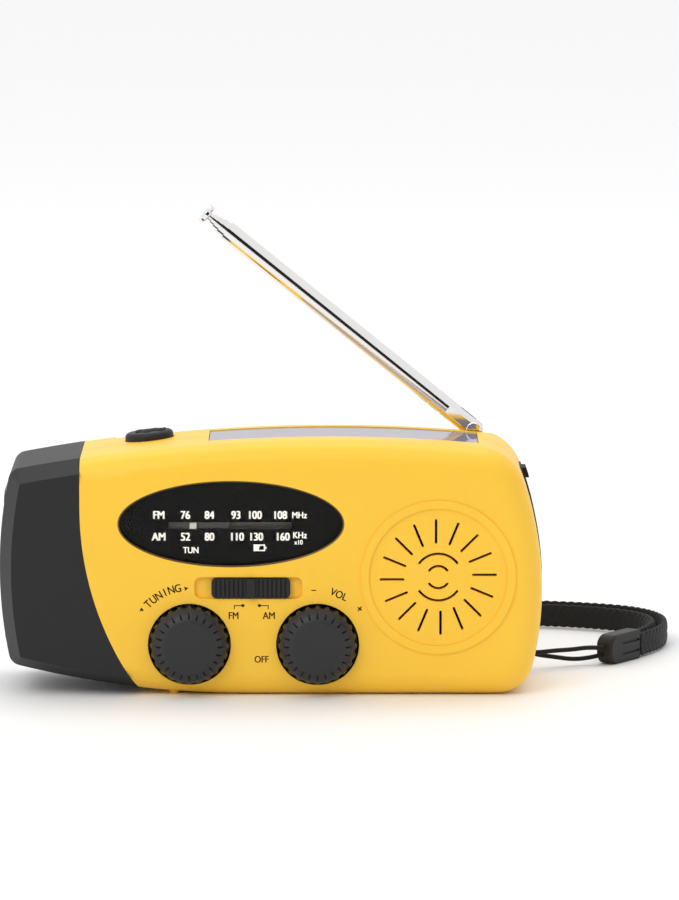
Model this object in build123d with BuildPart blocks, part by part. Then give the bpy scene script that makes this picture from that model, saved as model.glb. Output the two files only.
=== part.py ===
from build123d import *
import os
from math import cos, pi, radians, sin, sqrt, tan

# Hand-crank radio. Millimetres. X runs to the right, Y to the back, Z up.
# The origin is on the base, under the middle of the case.

# Case
body_width = 129.0
body_height = 60.9
body_depth = 38.5
front_depth = 19.0  # from the front face to the seam between the shells
front_y = -20.5
wall = 2.0
crest_x = 14.0  # where the top is highest
top_radius = 400.0
side_radius = 79.0  # bulge of the right end
side_bulge_z = 25.0
end_radius = 105.0  # bulge of the torch end
end_bulge_z = 30.0
base_radius = 223.0  # the base curves up towards the left end
base_flat_left = -6.0
corner_top = 12.0
corner_base = 9.0
corner_left = 8.0
front_round = 6.0
rear_round = 4.0
seam_groove = 0.3

# End cap
cap_width = 19.3
cap_straight_z = 45.0  # the cap's edge is straight above this height
cap_curve = 75.0
cap_corner = 3.2
cap_chamfer = 3.0
cap_chamfer_deep = 6.0
tongue_length = 2.0
tongue_wall = 1.2
tongue_gap = 0.1

# Torch
lens_height = 36.0
lens_depth = 24.0
lens_corner = 6.0
lens_thick = 1.5
lens_inset = 1.0
led_pitch = 11.6
led_radius = 2.5
cup_radius = 5.4
reflector_deep = 8.0

# Dial
dial_x = -9.4
dial_z = 41.5
dial_width = 53.7
dial_height = 20.7
window_inset = 0.6
window_thick = 1.3
window_gap = 0.1
plate_margin = 1.9
plate_thick = 0.6
slot_x = -9.6
slot_z = 40.8
slot_length = 29.2
slot_height = 1.75
pointer_width = 1.6
pointer_gap = 0.15
pointer_x = -18.4
pointer_low = -22.8  # the pointer's lowest place on the scale
pointer_high = 3.2

# Knobs
knob_z = 12.6
tuning_x = -19.3
volume_x = 11.1
knob_hole = 9.85
knob_gap = 0.5
knob_face = 5.85
knob_proud = 4.5
knob_lugs = 24
shaft_radius = 2.0

# Tuning drive
tuning_module = 0.6
tuning_teeth = 30
gear_thick = 1.5
pin_radius = 1.0

# Band switch
switch_x = -5.3
switch_z = 26.2
switch_width = 25.6
switch_height = 5.2
switch_recess = 1.1
slider_width = 18.7
slider_x = -4.7
slider_travel = 2.0
slider_gap = 0.25
stem_width = 3.0
stem_height = 1.8

# Speaker
speaker_inset = 24.8  # from the right end to the speaker's middle
speaker_z = 28.8
speaker_radius = 18.0
ring_outer = 18.4
ring_inner = 16.45
ring_proud = 0.4
grille_slots = 16
grille_near = 8.0
grille_far = 13.9
grille_slot = 0.6
grille_offset = 0.55
grille_arcs = (5.6, 2.65)
grille_arc_half = 53.0

# Solar panel
solar_x = 17.25
solar_width = 64.3
solar_front = 11.3  # from the front face
solar_depth = 18.2
solar_pocket = 1.6
solar_cell_thick = 0.5
solar_gap = 0.15
solar_pad = 1.8

# Torch button
button_x = -29.3
button_y = 4.8
button_width = 11.6
button_depth = 10.4
button_proud = 1.8
button_gap = 0.15
button_travel = 1.0
button_flange = 0.8

# Ports
port_y = 1.0
port_low = 27.0
port_high = 52.8
port_width = 12.0
port_recess = 1.2
port_gap = 0.15
cover_proud = 0.3
usb_height = 13.1
usb_width = 5.7
usb_long = 13.0
usb_z = 44.5
charge_height = 7.4
charge_width = 2.6
charge_long = 5.5
charge_z = 32.0
board_thick = 1.2

# Antenna
antenna_x = 48.6
antenna_z = 59.6
antenna_back = 3.6  # from the rear face to the antenna's middle
antenna_tilt = 39.0
antenna_radius = 2.4
rebate_z = 56.5
rebate_gap = 0.4
trough_wall = 1.8
pocket_radius = 4.3
fork_length = 14.0
tube_end = 76.5
antenna_tip = 83.4
section_wall = 0.3
section_gap = 0.05
section_shows = (1.8, 1.5, 1.1)
stud_radius = 1.8
nut_radius = 2.8

# Crank
crank_x = 22.0
crank_z = 30.0
crank_reach = 39.0
arm_width = 12.0
arm_thick = 6.4
arm_gap = 0.5
arm_slot = 7.4
finger_radius = 3.0
finger_length = 17.0
crank_module = 0.5
crank_teeth = 52
idler_small = 12
idler_large = 40
pinion_teeth = 10
bushing_wall = 1.2
running = 0.05  # radial clearance of a running fit

# Inside
board_y = -13.5
battery_radius = 7.0
battery_length = 50.0
battery_z = 11.4
battery_y = 4.0
dynamo_radius = 10.0
dynamo_length = 11.0
plate_y = 4.0
plate_metal = 1.5
screw_radius = 1.0
screw_head = 2.1
post_radius = 2.8
pole_radius = 2.2

# Wrist strap
cord_diameter = 1.1
band_width = 5.8
band_thick = 1.6
band_z = 3.3

right = body_width / 2
left = -body_width / 2
rear_y = front_y + body_depth
seam_y = front_y + front_depth
inner_front = front_y + wall
inner_rear = rear_y - wall
cap_x = left + cap_width
speaker_x = right - speaker_inset
antenna_y = rear_y - antenna_back
rebate_y = antenna_y - antenna_radius - rebate_gap
tilt = radians(antenna_tilt)
tuning_pitch = tuning_module * tuning_teeth / 2
rack_z = knob_z + 3 * tuning_pitch
rack_high = rack_z + 3.0
drive_front = inner_front + plate_thick + 0.5
far = 200.0  # longer than anything that it cuts


def facing(y):
    """The plane at depth y that looks to the front, drawn in X and Z."""
    return Plane.XZ.offset(-y)


def top_at(x):
    return body_height - top_radius + sqrt(top_radius**2 - (x - crest_x) ** 2)


def side_at(z):
    return right - side_radius + sqrt(side_radius**2 - (z - side_bulge_z) ** 2)


def end_at(z):
    return left + end_radius - sqrt(end_radius**2 - (z - end_bulge_z) ** 2)


def base_at(x, inward=0.0):
    run = min(x - base_flat_left, 0.0)
    return base_radius - sqrt((base_radius - inward) ** 2 - run**2)


def gear_outline(centre, teeth, module, turn=0.0):
    """Points round a gear, with slim straight teeth that leave backlash."""
    pitch = teeth * module / 2
    tip = pitch + 0.75 * module
    root = pitch - 1.0 * module
    points = []
    for tooth in range(teeth):
        for share, radius in ((-0.31, root), (-0.11, tip), (0.11, tip), (0.31, root)):
            angle = radians(turn) + (tooth + share) * 2 * pi / teeth
            points.append((centre[0] + radius * cos(angle), centre[1] + radius * sin(angle)))
    return points


# The case's outline from the front, and what is cut from it
def outline(left_corner, inward):
    """The case seen from the front, with every edge moved inward."""
    arc_low = base_at(-far, inward)
    arc_middle = base_at(-far / 2, inward)
    with BuildSketch() as above_base:
        with BuildLine():
            Polyline((base_flat_left, inward), (far, inward), (far, far), (-far, far), (-far, arc_low))
            ThreePointArc((-far, arc_low), (-far / 2, arc_middle), (base_flat_left, inward))
        make_face()
    with BuildSketch() as shape:
        with Locations((crest_x, body_height - top_radius)):
            Circle(top_radius - inward)
        with Locations(Location((right - side_radius, side_bulge_z, 0), (0, 0, 180))):
            Circle(side_radius - inward, mode=Mode.INTERSECT)
        with Locations((left + end_radius, end_bulge_z)):
            Circle(end_radius - inward, mode=Mode.INTERSECT)
        add(above_base.sketch, mode=Mode.INTERSECT)
        low, high = shape.vertices().sort_by(Axis.X)[-2:].sort_by(Axis.Y)
        fillet(high, corner_top - inward)
        low = shape.vertices().group_by(Axis.Y)[0].sort_by(Axis.X)[-1]
        fillet(low, corner_base - inward)
        fillet(shape.vertices().sort_by(Axis.X)[:2], left_corner - inward)
    return shape.sketch


case_outline = outline(corner_left, 0.0)
cap_outline = outline(cap_corner, 0.0)
cavity_outline = outline(corner_left, wall)
tongue_outline = outline(corner_left, wall + tongue_gap)
tongue_core = outline(corner_left, wall + tongue_gap + tongue_wall)
groove_core = outline(corner_left, seam_groove)


def cap_region(shift):
    """All that lies to the left of the cap's edge, moved right by shift."""
    low_z = -5.0
    drop = cap_straight_z - low_z
    edge = cap_x + shift
    with BuildSketch() as region:
        with BuildLine():
            Polyline((edge, cap_straight_z), (edge, far), (-far, far), (-far, low_z))
            Line((-far, low_z), (edge + cap_curve - sqrt(cap_curve**2 - drop**2), low_z))
            ThreePointArc(
                (edge + cap_curve - sqrt(cap_curve**2 - drop**2), low_z),
                (edge + cap_curve - sqrt(cap_curve**2 - drop**2 / 4), cap_straight_z - drop / 2),
                (edge, cap_straight_z),
            )
        make_face()
    return region.sketch


cap_side = cap_region(0)
tongue_side = cap_region(tongue_length)

with BuildPart() as case_block:
    with BuildSketch(facing(rear_y)):
        add(case_outline)
    extrude(amount=body_depth)
    fillet(case_block.faces().sort_by(Axis.Y)[0].edges(), front_round)
    fillet(case_block.faces().sort_by(Axis.Y)[-1].edges(), rear_round)

with BuildPart() as cavity:
    with BuildSketch(facing(inner_rear)):
        add(cavity_outline)
    extrude(amount=body_depth - 2 * wall)
    fillet(cavity.faces().sort_by(Axis.Y)[0].edges(), front_round - wall)
    fillet(cavity.faces().sort_by(Axis.Y)[-1].edges(), rear_round - wall)

with BuildPart() as cap_block:
    with BuildSketch(facing(rear_y)):
        add(cap_outline)
    extrude(amount=body_depth)
    front_face = cap_block.faces().sort_by(Axis.Y)[0]
    chamfer(front_face.edges(), cap_chamfer, cap_chamfer_deep, reference=front_face)
    rear_face = cap_block.faces().sort_by(Axis.Y)[-1]
    chamfer(rear_face.edges(), cap_chamfer)

# Shells
post_places = [
    (cap_x + 5.2, top_at(cap_x + 5.2) - 7.6),
    (cap_x + 14.0, 7.6),
    (right - 28.5, top_at(right - 28.5) - 9.4),
    (right - 15.5, 7.6),
]
board_posts = [(cap_x + 11.7, 16.0), (cap_x + 11.7, 52.3), (17.5, 52.0)]
stem_slot = stem_width + 2 * slider_travel + 2 * slider_gap

with BuildSketch() as solar_area:
    with Locations((solar_x, body_height)):
        Rectangle(solar_width, 12)
with BuildSketch() as solar_hole:
    add(solar_area.sketch)
    with Locations((crest_x, body_height - top_radius)):
        Circle(top_radius - solar_pocket, mode=Mode.SUBTRACT)
with BuildSketch() as solar_floor:
    with Locations((solar_x, body_height - 3)):
        Rectangle(solar_width + 4, 12)
    with Locations((crest_x, body_height - top_radius)):
        Circle(top_radius - solar_pocket, mode=Mode.INTERSECT)
        Circle(top_radius - solar_pocket - solar_pad, mode=Mode.SUBTRACT)
solar_back = front_y + solar_front + solar_depth

with BuildPart() as solar_cut:
    with BuildSketch(facing(solar_back)):
        add(solar_hole.sketch)
    extrude(amount=solar_depth)
with BuildPart() as solar_bed:
    with BuildSketch(facing(solar_back + 1.6)):
        add(solar_floor.sketch)
    extrude(amount=solar_depth + 3.2)

port_mid = (port_low + port_high) / 2
port_size = port_high - port_low
with BuildSketch() as port_ring:
    with Locations((right - side_radius, side_bulge_z)):
        Circle(side_radius + 3)
        Circle(side_radius - port_recess, mode=Mode.SUBTRACT)
    with Locations((right, port_mid)):
        Rectangle(40, port_size, mode=Mode.INTERSECT)
with BuildPart() as port_cut:
    with BuildSketch(facing(port_y + port_width / 2)):
        add(port_ring.sketch)
    extrude(amount=port_width)
    with Locations((right, port_y, usb_z)):
        Box(24, usb_width + 2 * port_gap, usb_height + 2 * port_gap)
    with Locations((right, port_y, charge_z)):
        Box(12, charge_width + 2 * port_gap, charge_height + 2 * port_gap)

with BuildPart() as seam_cut:
    with BuildSketch(facing(seam_y + seam_groove / 2)):
        add(case_outline)
        add(groove_core, mode=Mode.SUBTRACT)
    extrude(amount=seam_groove)

with BuildPart() as cap_cut:
    with BuildSketch(facing(rear_y + 5)):
        add(cap_side)
    extrude(amount=body_depth + 10)

foot_x = -23.1
foot_radius = 1.1
with BuildPart() as front_shell:
    add(case_block.part)
    add(cavity.part, mode=Mode.SUBTRACT)
    add(solar_bed.part)
    add(solar_cut.part, mode=Mode.SUBTRACT)
    split(bisect_by=facing(seam_y), keep=Keep.TOP)
    with BuildSketch(facing(seam_y)):
        with Locations(*post_places):
            Circle(post_radius)
    extrude(until=Until.NEXT)
    with BuildSketch(facing(board_y)):
        with Locations(*board_posts):
            Circle(pole_radius)
    extrude(until=Until.NEXT)
    with BuildSketch(facing(inner_front)):
        with Locations((speaker_x, speaker_z)):
            Circle(speaker_radius + 1.3)
            Circle(speaker_radius + 0.1, mode=Mode.SUBTRACT)
    extrude(amount=-2.0)
    with BuildSketch(facing(seam_y)):
        with Locations(*post_places):
            Circle(screw_radius)
    extrude(amount=10, mode=Mode.SUBTRACT)
    with BuildSketch(facing(board_y)):
        with Locations(*board_posts):
            Circle(screw_radius)
    extrude(amount=4, mode=Mode.SUBTRACT)
    with BuildSketch(facing(front_y)):
        with Locations((speaker_x, speaker_z)):
            Circle(ring_outer)
            Circle(ring_inner, mode=Mode.SUBTRACT)
    extrude(amount=ring_proud)
    with BuildSketch(facing(front_y)):
        with Locations((dial_x, dial_z)):
            Ellipse(dial_width / 2, dial_height / 2)
        with Locations((slider_x, switch_z)):
            Rectangle(stem_slot, stem_height + 2 * slider_gap)
        with Locations((speaker_x, speaker_z)):
            with PolarLocations(0, grille_slots):
                with Locations(((grille_near + grille_far) / 2, grille_offset)):
                    SlotOverall(grille_far - grille_near, grille_slot)
            for arc_radius in grille_arcs:
                for middle in (90, -90):
                    with BuildLine():
                        grille_arc = CenterArc(
                            (0, 0), arc_radius, middle - grille_arc_half, 2 * grille_arc_half
                        )
                    SlotArc(grille_arc, grille_slot)
    extrude(amount=-wall, mode=Mode.SUBTRACT)
    with BuildSketch(facing(drive_front + gear_thick + 0.3)):
        with Locations((tuning_x, knob_z), (volume_x, knob_z)):
            Circle(knob_hole)
    extrude(amount=wall + 5, mode=Mode.SUBTRACT)
    with BuildSketch(facing(front_y)):
        with Locations((switch_x, switch_z)):
            RectangleRounded(switch_width, switch_height, 1.6)
    extrude(amount=-switch_recess, mode=Mode.SUBTRACT)
    add(port_cut.part, mode=Mode.SUBTRACT)
    add(seam_cut.part, mode=Mode.SUBTRACT)
    add(cap_cut.part, mode=Mode.SUBTRACT)
    with BuildSketch(Plane.XY):
        with Locations((foot_x, front_y + 8)):
            SlotOverall(6, 2 * foot_radius, rotation=90)
    extrude(amount=base_at(foot_x) + 0.5)

stow_left = antenna_x - antenna_tip - 3
eye_x = right - 5.8
eye_y = rear_y - 2.8
eye_low = 3.9
eye_high = 7.9
eye_radius = 0.8
gear_posts = [
    (crank_x - 37.0, crank_z - 9.0),
    (crank_x - 37.0, crank_z + 9.0),
    (crank_x + 13.5, crank_z - 9.0),
    (crank_x + 13.5, crank_z + 12.0),
]
port_posts = [(right - 18.7, 29.0), (right - 18.7, 35.0)]
port_board_y = port_y - usb_width / 2
button_plane = Plane(
    origin=(button_x, button_y, top_at(button_x)),
    x_dir=(top_radius, 0, crest_x - button_x),
    z_dir=(button_x - crest_x, 0, top_radius),
)

with BuildPart() as rear_shell:
    add(case_block.part)
    add(cavity.part, mode=Mode.SUBTRACT)
    add(solar_bed.part)
    with Locations(((stow_left + right) / 2, rear_y, body_height)):
        trough = Box(
            right - stow_left,
            2 * (rear_y - rebate_y + trough_wall),
            2 * (body_height - rebate_z + trough_wall),
            mode=Mode.PRIVATE,
        )
    add(trough.intersect(case_block.part))
    with Locations((right, rear_y, (eye_low + eye_high) / 2)):
        eye_block = Box(21, 16, eye_high - eye_low + 5, mode=Mode.PRIVATE)
    add(eye_block.intersect(case_block.part))
    split(bisect_by=facing(seam_y), keep=Keep.BOTTOM)
    with BuildSketch(facing(seam_y)):
        with Locations(*post_places):
            Circle(post_radius + 0.4)
    extrude(amount=-(inner_rear - seam_y))
    with BuildSketch(facing(inner_rear)):
        with Locations(*gear_posts):
            Circle(pole_radius)
        with Locations((crank_x, crank_z)):
            Circle(shaft_radius + bushing_wall + 2)
    extrude(amount=1)
    with BuildSketch(facing(inner_rear)):
        with Locations(*gear_posts):
            Circle(pole_radius)
    extrude(amount=inner_rear - plate_y - plate_metal)
    with BuildSketch(facing(inner_rear)):
        with Locations(*port_posts):
            Circle(1.6)
    extrude(amount=inner_rear - port_board_y)
    with BuildSketch(facing(rear_y + 1)):
        with Locations(*post_places):
            Circle(screw_radius + 0.3)
    extrude(amount=body_depth, mode=Mode.SUBTRACT)
    with BuildSketch(facing(rear_y)):
        with Locations(*post_places):
            Circle(screw_head + 0.3)
    extrude(amount=4, mode=Mode.SUBTRACT)
    with BuildSketch(facing(plate_y + plate_metal)):
        with Locations(*gear_posts):
            Circle(screw_radius)
    extrude(amount=-7, mode=Mode.SUBTRACT)
    with BuildSketch(facing(rear_y + 1)):
        with Locations((crank_x, crank_z)):
            Circle(shaft_radius + running + bushing_wall)
    extrude(amount=6, mode=Mode.SUBTRACT)
    add(solar_cut.part, mode=Mode.SUBTRACT)
    with Locations(((stow_left + antenna_x) / 2, rebate_y + far / 2, rebate_z + far / 2)):
        Box(antenna_x - stow_left, far, far, mode=Mode.SUBTRACT)
    with BuildSketch(Plane.XY.offset(rebate_z)):
        with Locations((antenna_x, antenna_y)):
            Circle(pocket_radius)
    extrude(amount=20, mode=Mode.SUBTRACT)
    with BuildSketch(Plane.XY.offset(rebate_z + 1)):
        with Locations((antenna_x, antenna_y)):
            Circle(stud_radius + running)
    extrude(amount=-8, mode=Mode.SUBTRACT)
    with BuildSketch(Plane.XY.offset(rebate_z - trough_wall)):
        with Locations((antenna_x, antenna_y)):
            Circle(nut_radius + 0.2)
    extrude(amount=-6, mode=Mode.SUBTRACT)
    with Locations((eye_x + 8, eye_y + 8, (eye_low + eye_high) / 2)):
        Box(22, 22.4, eye_high - eye_low, mode=Mode.SUBTRACT)
    with BuildSketch(Plane.XY.offset(eye_low - 0.6)):
        with Locations((eye_x, eye_y)):
            Circle(eye_radius)
    extrude(amount=eye_high - eye_low + 2, mode=Mode.SUBTRACT)
    with BuildSketch(button_plane.offset(2)):
        Ellipse(button_width / 2 + button_gap, button_depth / 2 + button_gap)
    extrude(amount=-6, mode=Mode.SUBTRACT)
    add(port_cut.part, mode=Mode.SUBTRACT)
    add(seam_cut.part, mode=Mode.SUBTRACT)
    add(cap_cut.part, mode=Mode.SUBTRACT)


# End cap and torch
lens_x = left + lens_inset
torch_z = end_bulge_z
reflector_x = lens_x + lens_thick
torch_y = (front_y + rear_y) / 2
torch_plane = Plane(origin=(lens_x, torch_y, torch_z), x_dir=(0, -1, 0), z_dir=(-1, 0, 0))

with BuildPart() as cap_hollow:
    with BuildSketch(facing(inner_rear - tongue_gap - tongue_wall)):
        add(tongue_core)
    extrude(amount=body_depth - 2 * (wall + tongue_gap + tongue_wall))

with BuildPart() as tongue:
    with BuildSketch(facing(inner_rear - tongue_gap)):
        add(tongue_outline)
    extrude(amount=body_depth - 2 * wall - 2 * tongue_gap)
    fillet(tongue.faces().sort_by(Axis.Y)[0].edges(), front_round - wall - tongue_gap)
    fillet(tongue.faces().sort_by(Axis.Y)[-1].edges(), rear_round - wall - tongue_gap)
    with BuildSketch(facing(rear_y)):
        add(tongue_side)
    extrude(amount=body_depth, mode=Mode.INTERSECT)
    with BuildSketch(facing(rear_y)):
        with Locations(*post_places):
            Circle(post_radius + 0.8)
        with Locations((cap_x + 18.0, 5.0)):
            Rectangle(15.2, 13)
    extrude(amount=body_depth, mode=Mode.SUBTRACT)

with BuildPart() as end_cap:
    add(cap_block.part)
    with BuildSketch(facing(rear_y + 5)):
        add(cap_side)
    extrude(amount=body_depth + 10, mode=Mode.INTERSECT)
    add(tongue.part)
    add(cap_hollow.part, mode=Mode.SUBTRACT)
    with Locations((cap_x, inner_front + 1.5, (rack_z + rack_high) / 2)):
        Box(14, 3.0, rack_high - rack_z + 2.0, mode=Mode.SUBTRACT)
    with BuildSketch(torch_plane.offset(5)):
        RectangleRounded(lens_depth - 2, lens_height - 2, lens_corner - 1)
    extrude(amount=-10, mode=Mode.SUBTRACT)
    with BuildSketch(torch_plane):
        RectangleRounded(lens_depth, lens_height, lens_corner)
    extrude(amount=-5, mode=Mode.SUBTRACT)

with BuildPart() as torch_lens:
    with BuildSketch(torch_plane):
        RectangleRounded(lens_depth - 0.2, lens_height - 0.2, lens_corner - 0.1)
    extrude(amount=-lens_thick)

led_places = [(0, -led_pitch), (0, 0), (0, led_pitch)]
led_x = reflector_deep - 3.2
with BuildPart() as torch_reflector:
    with BuildSketch(torch_plane.offset(-lens_thick)):
        RectangleRounded(lens_depth - 0.4, lens_height - 0.4, lens_corner - 0.2)
    extrude(amount=-reflector_deep)
    for spot in led_places:
        with BuildSketch(torch_plane.offset(-lens_thick)):
            with Locations(spot):
                Circle(cup_radius)
        with BuildSketch(torch_plane.offset(-lens_thick - reflector_deep + 1)):
            with Locations(spot):
                Circle(led_radius + 0.2)
        loft(mode=Mode.SUBTRACT)
        with BuildSketch(torch_plane.offset(-lens_thick - reflector_deep)):
            with Locations(spot):
                Circle(led_radius + 0.2)
        extrude(amount=2, mode=Mode.SUBTRACT)

led_back = lens_thick + reflector_deep
with BuildPart() as torch_leds:
    for spot in led_places:
        with BuildSketch(torch_plane.offset(-led_back)):
            with Locations(spot):
                Circle(led_radius)
        extrude(amount=5.0)
    fillet(torch_leds.faces().sort_by(Axis.X)[:3].edges(), led_radius * 0.9)

button_local = -wall - button_flange - button_travel - 0.2
with BuildPart() as torch_button:
    with BuildSketch(button_plane.offset(button_proud)):
        Ellipse(button_width / 2, button_depth / 2)
    extrude(amount=-button_proud - wall - 0.1)
    fillet(torch_button.faces().sort_by(Axis.Z)[-1].edges(), 1.1)
    with BuildSketch(button_plane.offset(-wall - 0.1)):
        Ellipse(button_width / 2 + 0.9, button_depth / 2 - 0.6)
    extrude(amount=-button_flange)

with BuildPart() as torch_boards:
    with BuildSketch(torch_plane.offset(-led_back)):
        RectangleRounded(lens_depth - 1, lens_height - 1, 2)
    extrude(amount=-board_thick)
    with BuildSketch(button_plane.offset(button_local - 5.0)):
        with Locations((0, (board_y + board_thick - button_y + 5) / 2)):
            Rectangle(9, 5 + button_y - board_y - board_thick)
    extrude(amount=-board_thick)

with BuildPart() as torch_switch:
    with BuildSketch(button_plane.offset(button_local)):
        Circle(1.5)
    extrude(amount=-1.6)
    with BuildSketch(button_plane.offset(button_local - 1.6)):
        RectangleRounded(6, 6, 0.5)
    extrude(amount=-3.4)

# Dial
with BuildPart() as dial_window:
    with BuildSketch(facing(front_y + window_inset)):
        with Locations((dial_x, dial_z)):
            Ellipse(dial_width / 2 - window_gap, dial_height / 2 - window_gap)
    extrude(amount=-window_thick)
    fillet(dial_window.faces().sort_by(Axis.Y)[0].edges(), 0.4)

with BuildPart() as dial_plate:
    with BuildSketch(facing(inner_front)):
        with Locations((dial_x, dial_z)):
            Ellipse(dial_width / 2 + plate_margin, dial_height / 2 + plate_margin)
        with Locations((slot_x, slot_z)):
            Rectangle(slot_length, slot_height, mode=Mode.SUBTRACT)
    extrude(amount=-plate_thick)
    with BuildSketch(facing(inner_front + plate_thick)):
        with Locations((dial_x, rack_high + running + 0.6)):
            Rectangle(44, 1.2)
    extrude(amount=-(drive_front + gear_thick - inner_front - plate_thick))

rack_start = tuning_x - (pointer_high - pointer_x) - 5.0
rack_end = tuning_x + (pointer_x - pointer_low) + 5.0
tooth_pitch = pi * tuning_module
with BuildPart() as dial_pointer:
    with BuildSketch(facing(drive_front)):
        with Locations(((rack_start + rack_end) / 2, (rack_z + tuning_module + rack_high) / 2)):
            Rectangle(rack_end - rack_start, rack_high - rack_z - tuning_module)
        teeth_at = [tuning_x + (step + 0.5) * tooth_pitch for step in range(-30, 30)]
        teeth_at = [x for x in teeth_at if rack_start + 0.6 < x < rack_end - 0.6]
        with Locations(*[(x, rack_z + 0.1) for x in teeth_at]):
            Trapezoid(0.62 * tooth_pitch, 1.15, 69, rotation=180)
    extrude(amount=-gear_thick)
    with BuildSketch(facing(inner_front + 0.1)):
        with Locations((pointer_x, slot_z)):
            Rectangle(pointer_width, slot_height - 2 * pointer_gap)
    extrude(amount=-(drive_front - inner_front - 0.1))
    with BuildSketch(facing(drive_front)):
        with Locations((pointer_x, (slot_z - 0.5 + rack_high) / 2)):
            Rectangle(pointer_width, rack_high - slot_z + 0.5)
    extrude(amount=-gear_thick)

idler_place = (tuning_x, knob_z + 2 * tuning_pitch)
with BuildPart() as tuning_idler:
    with BuildSketch(facing(drive_front)):
        with BuildLine():
            Polyline(
                *gear_outline(idler_place, tuning_teeth, tuning_module, 180 / tuning_teeth),
                close=True,
            )
        make_face()
        with Locations(idler_place):
            Circle(pin_radius + running, mode=Mode.SUBTRACT)
    extrude(amount=-gear_thick)

# Knobs and what they turn
knob_radius = knob_hole - knob_gap
knob_back = inner_front + 0.3
knob_front = front_y - knob_proud


def knob(x, stem_length):
    """A finger knob: a flat face, and a sloping shoulder with lugs all round."""
    axis = Plane(origin=(x, 0, knob_z), x_dir=(1, 0, 0), z_dir=(0, 0, 1))
    shoulder_y = front_y - 0.9
    with BuildPart() as turned:
        with BuildSketch(axis):
            with BuildLine():
                Polyline(
                    (0, knob_back), (knob_radius, knob_back), (knob_radius, shoulder_y)
                )
                ThreePointArc(
                    (knob_radius, shoulder_y),
                    (knob_radius * 0.87, shoulder_y - knob_proud * 0.52),
                    (knob_face, knob_front),
                )
                Polyline((knob_face, knob_front), (0, knob_front), (0, knob_back))
            make_face()
        revolve(axis=Axis((x, 0, knob_z), (0, 1, 0)))
        with BuildSketch(facing(knob_front - 1)):
            with Locations((x, knob_z)):
                with PolarLocations(knob_radius + 0.55, knob_lugs, start_angle=180 / knob_lugs):
                    Circle(1.05)
        extrude(amount=-(knob_back - knob_front) - 2, mode=Mode.SUBTRACT)
        with BuildSketch(facing(knob_front - 1)):
            with Locations((x, knob_z)):
                with PolarLocations((knob_radius + knob_face) / 2 + 0.4, knob_lugs):
                    SlotOverall(2.6, 0.42)
        extrude(amount=-2.3, mode=Mode.SUBTRACT)
        with BuildSketch(facing(knob_back)):
            with Locations((x, knob_z)):
                Circle(shaft_radius)
        extrude(amount=3.5, mode=Mode.SUBTRACT)
        if stem_length:
            with BuildSketch(facing(knob_back - 3.5)):
                with Locations((x, knob_z)):
                    Circle(shaft_radius)
            extrude(amount=-stem_length)
    return turned


part_back = board_y + board_thick
tuning_knob = knob(tuning_x, 0)
volume_knob = knob(volume_x, part_back + 2.5 - knob_back + 3.5)

with BuildPart() as tuning_gear:
    with BuildSketch(facing(drive_front)):
        with BuildLine():
            Polyline(*gear_outline((tuning_x, knob_z), tuning_teeth, tuning_module), close=True)
        make_face()
    extrude(amount=-gear_thick)
    with BuildSketch(facing(part_back + 3)):
        with Locations((tuning_x, knob_z)):
            Circle(shaft_radius)
    extrude(amount=part_back + 3 - knob_back + 3.5)

with BuildPart() as tuning_capacitor:
    with BuildSketch(facing(part_back)):
        with Locations((tuning_x, knob_z)):
            RectangleRounded(15, 15, 1)
    extrude(amount=-6)
    with BuildSketch(facing(part_back)):
        with Locations((tuning_x, knob_z)):
            Circle(shaft_radius + running)
    extrude(amount=-3.1, mode=Mode.SUBTRACT)

with BuildPart() as volume_control:
    with BuildSketch(facing(part_back)):
        with Locations((volume_x, knob_z)):
            Circle(7.8)
    extrude(amount=-3.5)
    with BuildSketch(facing(part_back)):
        with Locations((volume_x, knob_z)):
            Circle(shaft_radius + running)
    extrude(amount=-2.6, mode=Mode.SUBTRACT)

# Band switch
slider_y = front_y + switch_recess - 0.1
body_front = board_y - 4.2
with BuildPart() as switch_slider:
    with BuildSketch(facing(slider_y)):
        with Locations((slider_x, switch_z)):
            RectangleRounded(slider_width, switch_height - 2 * slider_gap, 1.2)
    extrude(amount=1.6)
    ribs = [(slider_x + side * (1.9 + 1.05 * step), switch_z) for side in (-1, 1) for step in range(7)]
    with BuildSketch(facing(slider_y - 1.6)):
        with Locations(*ribs):
            Rectangle(0.4, switch_height)
    extrude(amount=-0.4, mode=Mode.SUBTRACT)
    with BuildSketch(facing(slider_y - 1.5)):
        with Locations((slider_x, switch_z)):
            RectangleRounded(1.9, switch_height - 2 * slider_gap - 0.2, 0.5)
    extrude(amount=0.9)
    with BuildSketch(facing(slider_y)):
        with Locations((slider_x, switch_z)):
            Rectangle(stem_width, stem_height)
    extrude(amount=-(body_front + 1.5 - slider_y))

with BuildPart() as band_switch:
    with BuildSketch(facing(board_y)):
        with Locations((slider_x, switch_z)):
            Rectangle(stem_slot + 3, 6)
    extrude(amount=4.2)
    with BuildSketch(facing(body_front)):
        with Locations((slider_x, switch_z)):
            Rectangle(stem_slot, stem_height + 2 * slider_gap)
    extrude(amount=-1.8, mode=Mode.SUBTRACT)

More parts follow.
